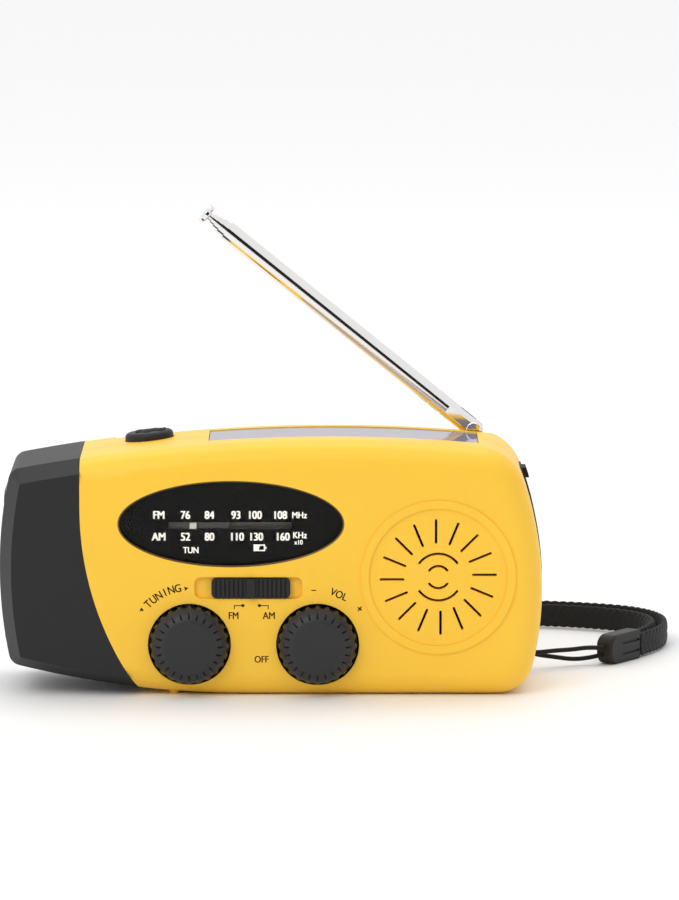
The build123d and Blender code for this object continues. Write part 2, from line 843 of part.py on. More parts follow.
# Boards, battery and aerial rod
board_left = cap_x + 9.2
board_right = speaker_x - 19.2
board_high = 55.0
rod_y = battery_y - 1
rod_z = 51.0
rod_radius = 3.5
rod_x = (-20.0, 30.0)
with BuildPart() as main_board:
    with BuildSketch(facing(board_y)):
        with Locations(((board_left + board_right) / 2, (11.4 + board_high) / 2)):
            Rectangle(board_right - board_left, board_high - 11.4)
        with Locations(((tuning_x - 8.5 + board_right) / 2, 8.4)):
            Rectangle(board_right - tuning_x + 8.5, 7.8)
        with Locations((tuning_x, knob_z), (volume_x, knob_z)):
            Circle(shaft_radius + 1, mode=Mode.SUBTRACT)
        with Locations(*board_posts):
            Circle(screw_radius, mode=Mode.SUBTRACT)
    extrude(amount=-board_thick)
    for clip_x in (-15.0, 13.5):
        with Locations((clip_x, (part_back + rod_y + 1) / 2, rod_z - 2.5)):
            Box(2.5, rod_y + 1 - part_back, 5)
    with BuildSketch(Plane.YZ.offset(rod_x[0])):
        with Locations((rod_y, rod_z)):
            Circle(rod_radius)
    extrude(amount=rod_x[1] - rod_x[0], mode=Mode.SUBTRACT)

holder_half = battery_length / 2 + 2.4
with BuildPart() as battery:
    with BuildSketch(Plane.YZ.offset(-battery_length / 2)):
        with Locations((battery_y, battery_z)):
            Circle(battery_radius)
    extrude(amount=battery_length)
    fillet(battery.edges().filter_by(GeomType.CIRCLE), 0.8)
    with BuildSketch(Plane.YZ.offset(battery_length / 2)):
        with Locations((battery_y, battery_z)):
            Circle(2.5)
    extrude(amount=1.0)

with BuildPart() as battery_contacts:
    for contact_x in (-battery_length / 2 - 0.5, battery_length / 2 + 1.0):
        with BuildSketch(Plane.YZ.offset(contact_x)):
            with Locations((battery_y, battery_z - 1)):
                RectangleRounded(9, 11, 1)
        extrude(amount=0.5)

with BuildPart() as battery_holder:
    with Locations((0, battery_y, 3.6 + 3)):
        Box(2 * holder_half, 2 * battery_radius + 2.8, 6)
    with BuildSketch(Plane.YZ.offset(-battery_length / 2 - 0.5)):
        with Locations((battery_y, battery_z)):
            Circle(battery_radius + 0.05)
    extrude(amount=battery_length + 2.0, mode=Mode.SUBTRACT)
    with Locations((0.25, battery_y, battery_z - 1)):
        Box(battery_length + 2.5, 9.2, 11.2, mode=Mode.SUBTRACT)

with BuildPart() as ferrite_rod:
    with BuildSketch(Plane.YZ.offset(rod_x[0])):
        with Locations((rod_y, rod_z)):
            Circle(rod_radius)
    extrude(amount=rod_x[1] - rod_x[0])

with BuildPart() as ferrite_coil:
    with BuildSketch(Plane.YZ.offset(-9)):
        with Locations((rod_y, rod_z)):
            Circle(rod_radius + 0.7)
            Circle(rod_radius, mode=Mode.SUBTRACT)
    extrude(amount=16)

# Speaker
speaker_axis = Plane(origin=(speaker_x, 0, speaker_z), x_dir=(1, 0, 0), z_dir=(0, 0, 1))
basket_back = inner_front + 5.2


def turned_about_speaker(points):
    with BuildPart() as turned:
        with BuildSketch(speaker_axis):
            with BuildLine():
                Polyline(*points, close=True)
            make_face()
        revolve(axis=Axis((speaker_x, 0, speaker_z), (0, 1, 0)))
    return turned


speaker_frame = turned_about_speaker([
    (speaker_radius, inner_front), (speaker_radius, inner_front + 1),
    (16.4, inner_front + 1), (12.0, basket_back), (5, basket_back),
    (5, basket_back - 0.8), (11.6, basket_back - 0.8), (15.8, inner_front),
])
speaker_cone = turned_about_speaker([
    (14.9, inner_front + 0.6), (10.8, inner_front + 1.1), (4.2, inner_front + 3.6),
    (0, inner_front + 2.4), (0, inner_front + 2.8), (4.2, inner_front + 4.2),
    (10.9, inner_front + 1.6), (14.4, inner_front + 1.0),
])
speaker_magnet = turned_about_speaker([
    (0, basket_back), (9.5, basket_back), (9.5, basket_back + 4.5), (0, basket_back + 4.5),
])

# Solar panel
with BuildSketch() as cover_shape:
    with Locations((solar_x, body_height)):
        Rectangle(solar_width - 2 * solar_gap, 12)
    with Locations((crest_x, body_height - top_radius)):
        Circle(top_radius - 0.2, mode=Mode.INTERSECT)
        Circle(top_radius - solar_pocket + solar_cell_thick, mode=Mode.SUBTRACT)
with BuildPart() as solar_cover:
    with BuildSketch(facing(solar_back - solar_gap)):
        add(cover_shape.sketch)
    extrude(amount=solar_depth - 2 * solar_gap)
with BuildSketch() as cell_shape:
    with Locations((solar_x, body_height)):
        Rectangle(solar_width - 3, 12)
    with Locations((crest_x, body_height - top_radius)):
        Circle(top_radius - solar_pocket + solar_cell_thick, mode=Mode.INTERSECT)
        Circle(top_radius - solar_pocket, mode=Mode.SUBTRACT)
with BuildPart() as solar_cell:
    with BuildSketch(facing(solar_back - 1.5)):
        add(cell_shape.sketch)
    extrude(amount=solar_depth - 3)

# Ports
usb_face = side_at(usb_z + usb_height / 2) - port_recess - 0.3
charge_face = side_at(charge_z + charge_height / 2) - port_recess - 0.3
with BuildPart() as port_sockets:
    with Locations((usb_face - usb_long / 2, port_y, usb_z)):
        Box(usb_long, usb_width, usb_height)
    with Locations((usb_face - usb_long / 2 + 0.5, port_y, usb_z)):
        Box(usb_long, usb_width - 0.7, usb_height - 0.7, mode=Mode.SUBTRACT)
    with Locations((usb_face - usb_long / 2 - 0.3, port_y + 0.8, usb_z)):
        Box(usb_long - 0.6, 1.9, usb_height - 2.0)
    with Locations((charge_face - charge_long / 2, port_y, charge_z)):
        Box(charge_long, charge_width, charge_height)
    with Locations((charge_face - charge_long / 2 + 0.5, port_y, charge_z)):
        Box(charge_long, charge_width - 0.5, charge_height - 0.5, mode=Mode.SUBTRACT)
    with Locations((charge_face - charge_long / 2 - 0.3, port_y, charge_z)):
        Box(charge_long - 0.6, 0.6, charge_height - 2.0)
    with Locations((charge_face - charge_long / 2 - 0.6, port_y - (usb_width + charge_width) / 4, charge_z)):
        Box(charge_long - 1.2, (usb_width - charge_width) / 2, charge_height - 1)
port_board_left = right - 20.5
with BuildPart() as port_board:
    with Locations(((port_board_left + usb_face - 2.5) / 2, port_board_y - board_thick / 2, 38.5)):
        Box(usb_face - 2.5 - port_board_left, board_thick, 25)

hinge_z = port_low + port_gap
hinge_x = side_at(hinge_z) + cover_proud
with BuildSketch() as flap_ring:
    with Locations((right - side_radius, side_bulge_z)):
        Circle(side_radius + cover_proud)
        Circle(side_radius - port_recess + 0.1, mode=Mode.SUBTRACT)
    with Locations((right, port_mid)):
        Rectangle(40, port_size - 2 * port_gap, mode=Mode.INTERSECT)
with BuildSketch() as flap_tab:
    with Locations((right - side_radius, side_bulge_z)):
        Circle(side_radius + 1.2)
        Circle(side_radius - 0.5, mode=Mode.SUBTRACT)
    with Locations((right, port_high - 1.6)):
        Rectangle(40, 2.4, mode=Mode.INTERSECT)
with BuildPart() as port_cover:
    with BuildSketch(facing(port_y + port_width / 2 - port_gap)):
        add(flap_ring.sketch)
    extrude(amount=port_width - 2 * port_gap)
    with BuildSketch(facing(port_y + 3)):
        add(flap_tab.sketch)
    extrude(amount=6)

# Crank
arm_front = rear_y + arm_gap
arm_back = arm_front + arm_thick
arm_mid = (arm_front + arm_back) / 2
fold_x = crank_x - crank_reach
barrel_radius = arm_thick / 2 - 0.3
finger_start = fold_x + barrel_radius + 0.2
finger_end = finger_start + finger_length
gear_front = inner_rear - 3.8
shaft_end = arm_back - 2.9

with BuildPart() as crank_bushing:
    with BuildSketch(facing(rear_y + 0.3)):
        with Locations((crank_x, crank_z)):
            Circle(shaft_radius + running + bushing_wall)
            Circle(shaft_radius + running, mode=Mode.SUBTRACT)
    extrude(amount=wall + 1.3)

with BuildPart() as crank_arm:
    with BuildSketch(facing(arm_back)):
        with Locations(((crank_x + fold_x) / 2, crank_z)):
            SlotCenterToCenter(crank_reach, arm_width)
    extrude(amount=arm_thick)
    fillet(crank_arm.faces().sort_by(Axis.Y)[-1].edges(), 1.0)
    with BuildSketch(facing(arm_back)):
        with Locations(((fold_x - 8 + finger_end + 4.5) / 2, crank_z)):
            Rectangle(finger_end + 4.5 - fold_x + 8, arm_slot)
    extrude(amount=arm_thick, mode=Mode.SUBTRACT)
    with BuildSketch(facing(arm_back)):
        with Locations((crank_x, crank_z)):
            Circle(2.6)
    extrude(amount=1.7, mode=Mode.SUBTRACT)
    with BuildSketch(facing(arm_back)):
        with Locations((crank_x, crank_z)):
            Circle(screw_radius)
    extrude(amount=arm_thick, mode=Mode.SUBTRACT)
    with BuildSketch(facing(shaft_end)):
        with Locations((crank_x, crank_z)):
            Circle(shaft_radius)
    extrude(amount=arm_thick, mode=Mode.SUBTRACT)
    with BuildSketch(Plane.XY.offset(crank_z - arm_width)):
        with Locations((fold_x, arm_mid)):
            Circle(pin_radius)
    extrude(amount=2 * arm_width, mode=Mode.SUBTRACT)

with BuildPart() as crank_screw:
    with BuildSketch(facing(arm_back - 1.7)):
        with Locations((crank_x, crank_z)):
            Circle(2.4)
    extrude(amount=-1.3)
    with BuildSketch(facing(arm_back - 1.7)):
        with Locations((crank_x, crank_z)):
            Circle(screw_radius)
    extrude(amount=5)
    with BuildSketch(facing(arm_back - 0.4)):
        with Locations((crank_x, crank_z)):
            Rectangle(3, 0.6)
            Rectangle(0.6, 3)
    extrude(amount=0.8, mode=Mode.SUBTRACT)

with BuildPart() as link_pin:
    with BuildSketch(Plane.XY.offset(crank_z - arm_width / 2 + 0.3)):
        with Locations((fold_x, arm_mid)):
            Circle(pin_radius)
    extrude(amount=arm_width - 0.6)

with BuildPart() as crank_link:
    with BuildSketch(Plane.XY.offset(crank_z - arm_slot / 2 + 0.2)):
        with Locations((fold_x, arm_mid)):
            Circle(barrel_radius)
    extrude(amount=arm_slot - 0.4)
    with BuildSketch(Plane.YZ.offset(fold_x)):
        with Locations((arm_mid, crank_z)):
            Circle(1.2)
    extrude(amount=finger_end - fold_x + 0.9)
    with BuildSketch(Plane.YZ.offset(finger_end + 0.1)):
        with Locations((arm_mid, crank_z)):
            Circle(2.1)
    extrude(amount=0.8)
    with BuildSketch(Plane.XY.offset(crank_z - arm_width)):
        with Locations((fold_x, arm_mid)):
            Circle(pin_radius + running)
    extrude(amount=2 * arm_width, mode=Mode.SUBTRACT)

with BuildPart() as crank_knob:
    with BuildSketch(Plane(origin=(0, arm_mid, crank_z), x_dir=(1, 0, 0), z_dir=(0, 0, 1))):
        with BuildLine():
            Polyline(
                (finger_end, finger_radius - 0.5), (finger_end, 1.2 + running),
                (finger_start, 1.2 + running), (finger_start, finger_radius - 0.5),
            )
            ThreePointArc(
                (finger_start, finger_radius - 0.5),
                ((finger_start + finger_end) / 2, finger_radius),
                (finger_end, finger_radius - 0.5),
            )
        make_face()
    revolve(axis=Axis((0, arm_mid, crank_z), (1, 0, 0)))

# Gears and dynamo
idler_x = crank_x - crank_module * (crank_teeth + idler_small) / 2
dynamo_x = idler_x - crank_module * (idler_large + pinion_teeth) / 2
large_front = gear_front - 3.8

with BuildPart() as crank_gear:
    with BuildSketch(facing(gear_front + 1.8)):
        with BuildLine():
            Polyline(*gear_outline((crank_x, crank_z), crank_teeth, crank_module), close=True)
        make_face()
    extrude(amount=1.8)
    with BuildSketch(facing(shaft_end)):
        with Locations((crank_x, crank_z)):
            Circle(shaft_radius)
    extrude(amount=shaft_end - plate_y + 0.6)
    with BuildSketch(facing(shaft_end)):
        with Locations((crank_x, crank_z)):
            Circle(screw_radius)
    extrude(amount=5, mode=Mode.SUBTRACT)

with BuildPart() as reduction_gear:
    with BuildSketch(facing(gear_front + 2.0)):
        with BuildLine():
            Polyline(
                *gear_outline((idler_x, crank_z), idler_small, crank_module, 180 / idler_small),
                close=True,
            )
        make_face()
    extrude(amount=gear_front + 2.0 - large_front)
    with BuildSketch(facing(large_front + 1.8)):
        with BuildLine():
            Polyline(*gear_outline((idler_x, crank_z), idler_large, crank_module), close=True)
        make_face()
    extrude(amount=1.8)
    with BuildSketch(facing(inner_rear)):
        with Locations((idler_x, crank_z)):
            Circle(pin_radius + running)
    extrude(amount=body_depth, mode=Mode.SUBTRACT)

with BuildPart() as gear_pins:
    with BuildSketch(facing(inner_rear)):
        with Locations((idler_x, crank_z)):
            Circle(pin_radius)
    extrude(amount=inner_rear - plate_y - plate_metal)
    with BuildSketch(facing(board_y)):
        with Locations(idler_place):
            Circle(pin_radius)
    extrude(amount=board_y - drive_front + 0.3)
    with BuildSketch(facing(board_y)):
        with Locations(idler_place):
            Circle(pin_radius + 1)
    extrude(amount=board_y - drive_front - gear_thick - 0.1)

with BuildPart() as dynamo_rotor:
    with BuildSketch(facing(large_front + 2.0)):
        with BuildLine():
            Polyline(
                *gear_outline((dynamo_x, crank_z), pinion_teeth, crank_module, 180 / pinion_teeth),
                close=True,
            )
        make_face()
    extrude(amount=2.2)
    with BuildSketch(facing(large_front)):
        with Locations((dynamo_x, crank_z)):
            Circle(0.75)
    extrude(amount=large_front - plate_y + dynamo_length - 1.2)
    with BuildSketch(facing(plate_y - 2.5)):
        with Locations((dynamo_x, crank_z)):
            Circle(dynamo_radius - 3)
    extrude(amount=dynamo_length - 5)

with BuildPart() as dynamo:
    with BuildSketch(facing(plate_y)):
        with Locations((dynamo_x, crank_z)):
            Circle(dynamo_radius)
    extrude(amount=dynamo_length)
    fillet(dynamo.faces().sort_by(Axis.Y)[0].edges(), 0.8)
    with BuildSketch(facing(plate_y - 0.9)):
        with Locations((dynamo_x, crank_z)):
            Circle(dynamo_radius - 1)
    extrude(amount=dynamo_length - 1.9, mode=Mode.SUBTRACT)
    with BuildSketch(facing(plate_y)):
        with Locations((dynamo_x, crank_z)):
            Circle(0.75 + running)
    extrude(amount=3, mode=Mode.SUBTRACT)

with BuildPart() as gear_plate:
    with BuildSketch(facing(plate_y + plate_metal)):
        with Locations((crank_x - 12, crank_z + 1.65)):
            RectangleRounded(56, 26, 2.4)
        with Locations((crank_x, crank_z)):
            Circle(shaft_radius + running, mode=Mode.SUBTRACT)
        with Locations((dynamo_x, crank_z)):
            Circle(1.2, mode=Mode.SUBTRACT)
        with Locations(*gear_posts):
            Circle(screw_radius, mode=Mode.SUBTRACT)
    extrude(amount=plate_metal)

with BuildPart() as small_screws:
    for seat, places, under in ((plate_y, gear_posts, -7), (part_back, board_posts, 5)):
        with BuildSketch(facing(seat)):
            with Locations(*places):
                Circle(screw_head)
        extrude(amount=1.3 if under < 0 else -1.3)
        with BuildSketch(facing(seat)):
            with Locations(*places):
                Circle(screw_radius)
        extrude(amount=under)

with BuildPart() as case_screws:
    with BuildSketch(facing(rear_y - 4)):
        with Locations(*post_places):
            Circle(screw_head)
    extrude(amount=-1.6)
    with BuildSketch(facing(rear_y - 4)):
        with Locations(*post_places):
            Circle(screw_radius)
    extrude(amount=rear_y - 4 - seam_y + 8)
    with BuildSketch(facing(rear_y - 2.4)):
        with Locations(*post_places):
            Rectangle(2.6, 0.55)
            Rectangle(0.55, 2.6)
    extrude(amount=0.9, mode=Mode.SUBTRACT)

# Antenna
pivot = (antenna_x, antenna_y, antenna_z)
along = (-cos(tilt), 0, sin(tilt))
antenna_plane = Plane(origin=pivot, x_dir=(0, 1, 0), z_dir=along)
antenna_side = Plane(origin=pivot, x_dir=along, z_dir=(0, 1, 0))
collar_z = rebate_z + running
tongue_half = 0.9
cheek = antenna_radius - 0.2

with BuildPart() as antenna_base:
    with BuildSketch(Plane.XY.offset(rebate_z - 6.4)):
        with Locations((antenna_x, antenna_y)):
            Circle(stud_radius)
    extrude(amount=6.6)
    with BuildSketch(Plane.XY.offset(collar_z)):
        with Locations((antenna_x, antenna_y)):
            Circle(2.6)
    extrude(amount=0.35)
    with BuildSketch(facing(antenna_y + tongue_half)):
        with Locations((antenna_x, antenna_z)):
            Circle(antenna_radius - 0.1)
        with Locations((antenna_x, (antenna_z + collar_z) / 2)):
            Rectangle(2 * antenna_radius - 0.2, antenna_z - collar_z)
        with Locations((antenna_x, antenna_z)):
            Circle(0.8 + running, mode=Mode.SUBTRACT)
    extrude(amount=2 * tongue_half)
    with BuildSketch(Plane.XY.offset(rebate_z - trough_wall - running)):
        with Locations((antenna_x, antenna_y)):
            RegularPolygon(nut_radius, 6)
    extrude(amount=-2.2)

with BuildPart() as antenna_fork:
    with BuildSketch(antenna_plane.offset(-antenna_radius)):
        Circle(antenna_radius)
    extrude(amount=fork_length + antenna_radius)
    with BuildSketch(antenna_side):
        Circle(antenna_radius)
        with Locations((fork_length / 2, 0)):
            Rectangle(fork_length, 2 * antenna_radius)
    extrude(amount=antenna_radius, both=True, mode=Mode.INTERSECT)
    with BuildSketch(antenna_side):
        with Locations((1.2, 0)):
            Rectangle(8.6, 3 * antenna_radius)
    extrude(amount=tongue_half + running, both=True, mode=Mode.SUBTRACT)
    for flat_side in (-1, 1):
        with BuildSketch(antenna_side.offset(flat_side * cheek)):
            with Locations((2, 0)):
                Rectangle(12, 3 * antenna_radius)
        extrude(amount=flat_side * 2, mode=Mode.SUBTRACT)
    with BuildSketch(antenna_side):
        Circle(0.8)
    extrude(amount=antenna_radius, both=True, mode=Mode.SUBTRACT)
    for ring_at in (9.0, 12.4):
        with BuildSketch(antenna_plane.offset(ring_at)):
            Circle(antenna_radius + 1)
            Circle(antenna_radius - 0.2, mode=Mode.SUBTRACT)
        extrude(amount=0.4, mode=Mode.SUBTRACT)

with BuildPart() as antenna_screw:
    with BuildSketch(facing(antenna_y + cheek)):
        with Locations((antenna_x, antenna_z)):
            Circle(0.8)
    extrude(amount=2 * cheek)
    with BuildSketch(facing(antenna_y - cheek)):
        with Locations((antenna_x, antenna_z)):
            Circle(1.75)
    extrude(amount=0.5)
    fillet(antenna_screw.faces().sort_by(Axis.Y)[0].edges(), 0.3)
    with BuildSketch(facing(antenna_y - cheek - 0.5)):
        with Locations((antenna_x, antenna_z)):
            Rectangle(2.4, 0.45)
            Rectangle(0.45, 2.4)
    extrude(amount=-0.35, mode=Mode.SUBTRACT)
    with BuildSketch(facing(antenna_y + cheek)):
        with Locations((antenna_x, antenna_z)):
            Circle(1.3)
    extrude(amount=-0.3)


def antenna_pipe(outer, wall_thick, start, end):
    with BuildPart() as pipe:
        with BuildSketch(antenna_plane.offset(start)):
            Circle(outer)
            Circle(outer - wall_thick, mode=Mode.SUBTRACT)
        extrude(amount=end - start)
    return pipe


tube_wall = section_wall + section_gap
antenna_tube = antenna_pipe(antenna_radius, tube_wall, fork_length, tube_end)
antenna_sections = []
outer = antenna_radius - tube_wall - section_gap
end = tube_end
for step, shows in enumerate(section_shows):
    end += shows
    antenna_sections.append(antenna_pipe(outer, section_wall, fork_length + 0.6, end))
    outer -= section_wall + section_gap
with BuildPart() as antenna_rod:
    with BuildSketch(antenna_plane.offset(fork_length + 0.6)):
        Circle(outer)
    extrude(amount=antenna_tip - fork_length - 1.6)
    with BuildSketch(antenna_plane.offset(antenna_tip - 1.5)):
        Circle(antenna_radius)
    extrude(amount=1.5)
    fillet(antenna_rod.edges().filter_by(GeomType.CIRCLE).group_by(SortBy.RADIUS)[-1], 0.45)

# Wrist strap
buckle_x = 84.68
buckle_y = 28.78
buckle_turn = 54.3
buckle_length = 13.2
buckle_thick = 4.6
buckle_height = 7.1
buckle_low = 0.1
buckle_dir = (cos(radians(buckle_turn)), sin(radians(buckle_turn)))
buckle_plane = Plane(
    origin=(buckle_x, buckle_y, buckle_low + buckle_height / 2),
    x_dir=(buckle_dir[0], buckle_dir[1], 0),
    z_dir=(-buckle_dir[1], buckle_dir[0], 0),
)

with BuildPart() as lanyard_bar:
    with BuildSketch(Plane.XY.offset(eye_low - 0.6)):
        with Locations((eye_x, eye_y)):
            Circle(eye_radius)
    extrude(amount=eye_high - eye_low + 2)

with BuildPart() as strap_slider:
    with BuildSketch(buckle_plane):
        Rectangle(buckle_length, buckle_height)
    extrude(amount=buckle_thick / 2, both=True)
    ends = strap_slider.edges().filter_by(lambda e: abs(e.tangent_at(0).Z) < 0.01)
    across = ends.filter_by(lambda e: abs(e.length - buckle_thick) < 0.01)
    nearest = across.sort_by(Axis((0, 0, 0), (buckle_dir[0], buckle_dir[1], 0)))[:2]
    fillet(nearest, 2.6)
    side_faces = strap_slider.faces().filter_by(Axis((0, 0, 0), (-buckle_dir[1], buckle_dir[0], 0)))
    for groove_z in (-1.3, 1.3):
        for side in (-1, 1):
            with BuildSketch(buckle_plane.offset(side * buckle_thick / 2)):
                with Locations((2.2, groove_z)):
                    SlotOverall(7.5, 0.6)
            extrude(amount=-side * 0.4, mode=Mode.SUBTRACT)
    chamfer(side_faces.edges(), 0.5)

cord_route = [
    (80.8, 23.0, 4.3), (77.2, 21.2, 4.8), (73.0, 19.0, 4.6), (68.5, 16.9, 4.7), (64.2, 14.5, 4.6),
    (60.6, 13.6, 5.1), (57.1, 13.6, 5.6), (57.1, 16.8, 5.4), (60.6, 17.3, 4.8), (64.4, 18.4, 3.4),
    (68.6, 20.2, 2.6), (73.0, 22.3, 1.6), (77.2, 23.7, 1.7), (80.3, 23.4, 2.5),
]
band_route = [
    (87.7, 35.2), (91.0, 42.2), (93.6, 48.8), (94.5, 56.0), (92.7, 63.6), (87.4, 69.6), (80.0, 74.0),
    (71.0, 77.2), (60.5, 79.0), (49.0, 78.5), (38.0, 74.0), (26.5, 67.0), (13.0, 62.5), (0.0, 65.5),
    (-6.5, 76.5), (-1.5, 88.0), (12.0, 94.0), (27.0, 93.0), (42.5, 88.5), (57.5, 84.4), (70.0, 82.6),
    (80.0, 79.6), (88.0, 75.8), (93.6, 70.4), (96.8, 63.0), (97.5, 55.0), (96.5, 47.5), (93.8, 40.5),
    (89.9, 33.7),
]


def bend_radii(points):
    """The largest arc that each corner's shorter run allows."""
    found = []
    for before, corner, after in zip(points, points[1:], points[2:]):
        first = Vector(*corner) - Vector(*before)
        second = Vector(*after) - Vector(*corner)
        half_turn = radians(first.get_angle(second) / 2)
        found.append(0.45 * min(first.length, second.length) / tan(half_turn))
    return found


band_points = [(x, y, band_z) for x, y in band_route]
with BuildPart() as strap_cord:
    with BuildLine() as cord_line:
        FilletPolyline(*cord_route, radius=bend_radii(cord_route))
    with BuildSketch(Plane(origin=cord_line.line @ 0, z_dir=cord_line.line % 0)):
        Circle(cord_diameter / 2)
    sweep(path=cord_line.line)

with BuildPart() as strap_band:
    with BuildLine() as band_line:
        FilletPolyline(*band_points, radius=bend_radii(band_points))
    with BuildSketch(Plane(origin=band_line.line @ 0, x_dir=(0, 0, 1), z_dir=band_line.line % 0)):
        Rectangle(band_width, band_thick)
    sweep(path=band_line.line)

for label, line, section, piece in (
    ("cord", cord_line, pi * cord_diameter**2 / 4, strap_cord),
    ("band", band_line, band_width * band_thick, strap_band),
):
    length = sum(edge.length for edge in line.edges())
    print(label, "length", round(length, 1), "volume", round(piece.part.volume, 1),
          "section times length", round(section * length, 1))
print("cord radii", [round(r, 1) for r in bend_radii(cord_route)])
print("band radii", [round(r, 1) for r in bend_radii(band_points)])

pieces = {
    "front_shell": front_shell,
    "rear_shell": rear_shell,
    "end_cap": end_cap,
    "case_screws": case_screws,
    "torch_lens": torch_lens,
    "torch_reflector": torch_reflector,
    "torch_leds": torch_leds,
    "torch_boards": torch_boards,
    "torch_button": torch_button,
    "torch_switch": torch_switch,
    "dial_window": dial_window,
    "dial_plate": dial_plate,
    "dial_pointer": dial_pointer,
    "tuning_idler": tuning_idler,
    "tuning_gear": tuning_gear,
    "tuning_knob": tuning_knob,
    "tuning_capacitor": tuning_capacitor,
    "volume_knob": volume_knob,
    "volume_control": volume_control,
    "switch_slider": switch_slider,
    "band_switch": band_switch,
    "main_board": main_board,
    "small_screws": small_screws,
    "battery": battery,
    "battery_contacts": battery_contacts,
    "battery_holder": battery_holder,
    "ferrite_rod": ferrite_rod,
    "ferrite_coil": ferrite_coil,
    "speaker_frame": speaker_frame,
    "speaker_cone": speaker_cone,
    "speaker_magnet": speaker_magnet,
    "solar_cover": solar_cover,
    "solar_cell": solar_cell,
    "port_sockets": port_sockets,
    "port_board": port_board,
    "port_cover": port_cover,
    "crank_bushing": crank_bushing,
    "crank_gear": crank_gear,
    "crank_arm": crank_arm,
    "crank_screw": crank_screw,
    "link_pin": link_pin,
    "crank_link": crank_link,
    "crank_knob": crank_knob,
    "reduction_gear": reduction_gear,
    "gear_pins": gear_pins,
    "dynamo_rotor": dynamo_rotor,
    "dynamo": dynamo,
    "gear_plate": gear_plate,
    "antenna_base": antenna_base,
    "antenna_fork": antenna_fork,
    "antenna_screw": antenna_screw,
    "antenna_tube": antenna_tube,
    "antenna_section_1": antenna_sections[0],
    "antenna_section_2": antenna_sections[1],
    "antenna_section_3": antenna_sections[2],
    "antenna_rod": antenna_rod,
    "lanyard_bar": lanyard_bar,
    "strap_slider": strap_slider,
    "strap_cord": strap_cord,
    "strap_band": strap_band,
}
os.makedirs("parts", exist_ok=True)
for name, piece in pieces.items():
    piece.part.label = name
    export_step(piece.part, f"parts/{name}.step")
    print(name, len(piece.part.solids()), round(piece.part.volume, 1))
print(len(pieces), "pieces")
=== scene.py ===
import math

import bmesh
import bpy
from mathutils import Matrix, Vector


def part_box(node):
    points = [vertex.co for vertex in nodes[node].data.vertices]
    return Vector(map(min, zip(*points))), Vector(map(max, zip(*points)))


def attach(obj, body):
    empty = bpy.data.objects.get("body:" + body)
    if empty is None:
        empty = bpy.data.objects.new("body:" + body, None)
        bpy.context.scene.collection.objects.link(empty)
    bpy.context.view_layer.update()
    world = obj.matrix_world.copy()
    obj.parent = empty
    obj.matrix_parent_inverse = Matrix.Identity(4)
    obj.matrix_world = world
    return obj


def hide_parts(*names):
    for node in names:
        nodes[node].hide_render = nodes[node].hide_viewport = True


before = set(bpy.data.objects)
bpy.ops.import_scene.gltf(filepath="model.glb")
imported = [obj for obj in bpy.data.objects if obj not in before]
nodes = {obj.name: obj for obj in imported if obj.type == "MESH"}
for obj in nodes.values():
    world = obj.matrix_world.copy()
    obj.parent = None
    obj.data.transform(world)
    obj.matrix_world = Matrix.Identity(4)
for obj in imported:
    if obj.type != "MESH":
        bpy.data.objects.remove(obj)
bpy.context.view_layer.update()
scene = bpy.context.scene
print("stage: frame loaded")

view = {"target": (0.0163, -0.0025, 0.0567), "distance": 1.5, "elevation": 8.0, "lens": 251.0}
lens = bpy.data.cameras.new("camera")
lens.lens = view["lens"]
lens.clip_end = 30.0
camera = bpy.data.objects.new("camera", lens)
scene.collection.objects.link(camera)
rise = math.radians(view["elevation"])
camera.location = Vector(view["target"]) + view["distance"] * Vector((0.0, -math.cos(rise), math.sin(rise)))
camera.rotation_euler = (math.pi / 2 - rise, 0.0, 0.0)
scene.camera = camera
print("stage: camera placed")


def makeGroup(name, inputs, outputs):
    group = bpy.data.node_groups.new(name, "ShaderNodeTree")
    for label, kind, value in inputs:
        socket = group.interface.new_socket(name=label, in_out="INPUT", socket_type=kind)
        socket.default_value = value
    for label, kind in outputs:
        group.interface.new_socket(name=label, in_out="OUTPUT", socket_type=kind)
    return group, group.nodes.new("NodeGroupInput"), group.nodes.new("NodeGroupOutput")


def addNode(tree, kind, values=None, **settings):
    node = tree.nodes.new(kind)
    for key, value in settings.items():
        setattr(node, key, value)
    for key, value in (values or {}).items():
        node.inputs[key].default_value = value
    return node


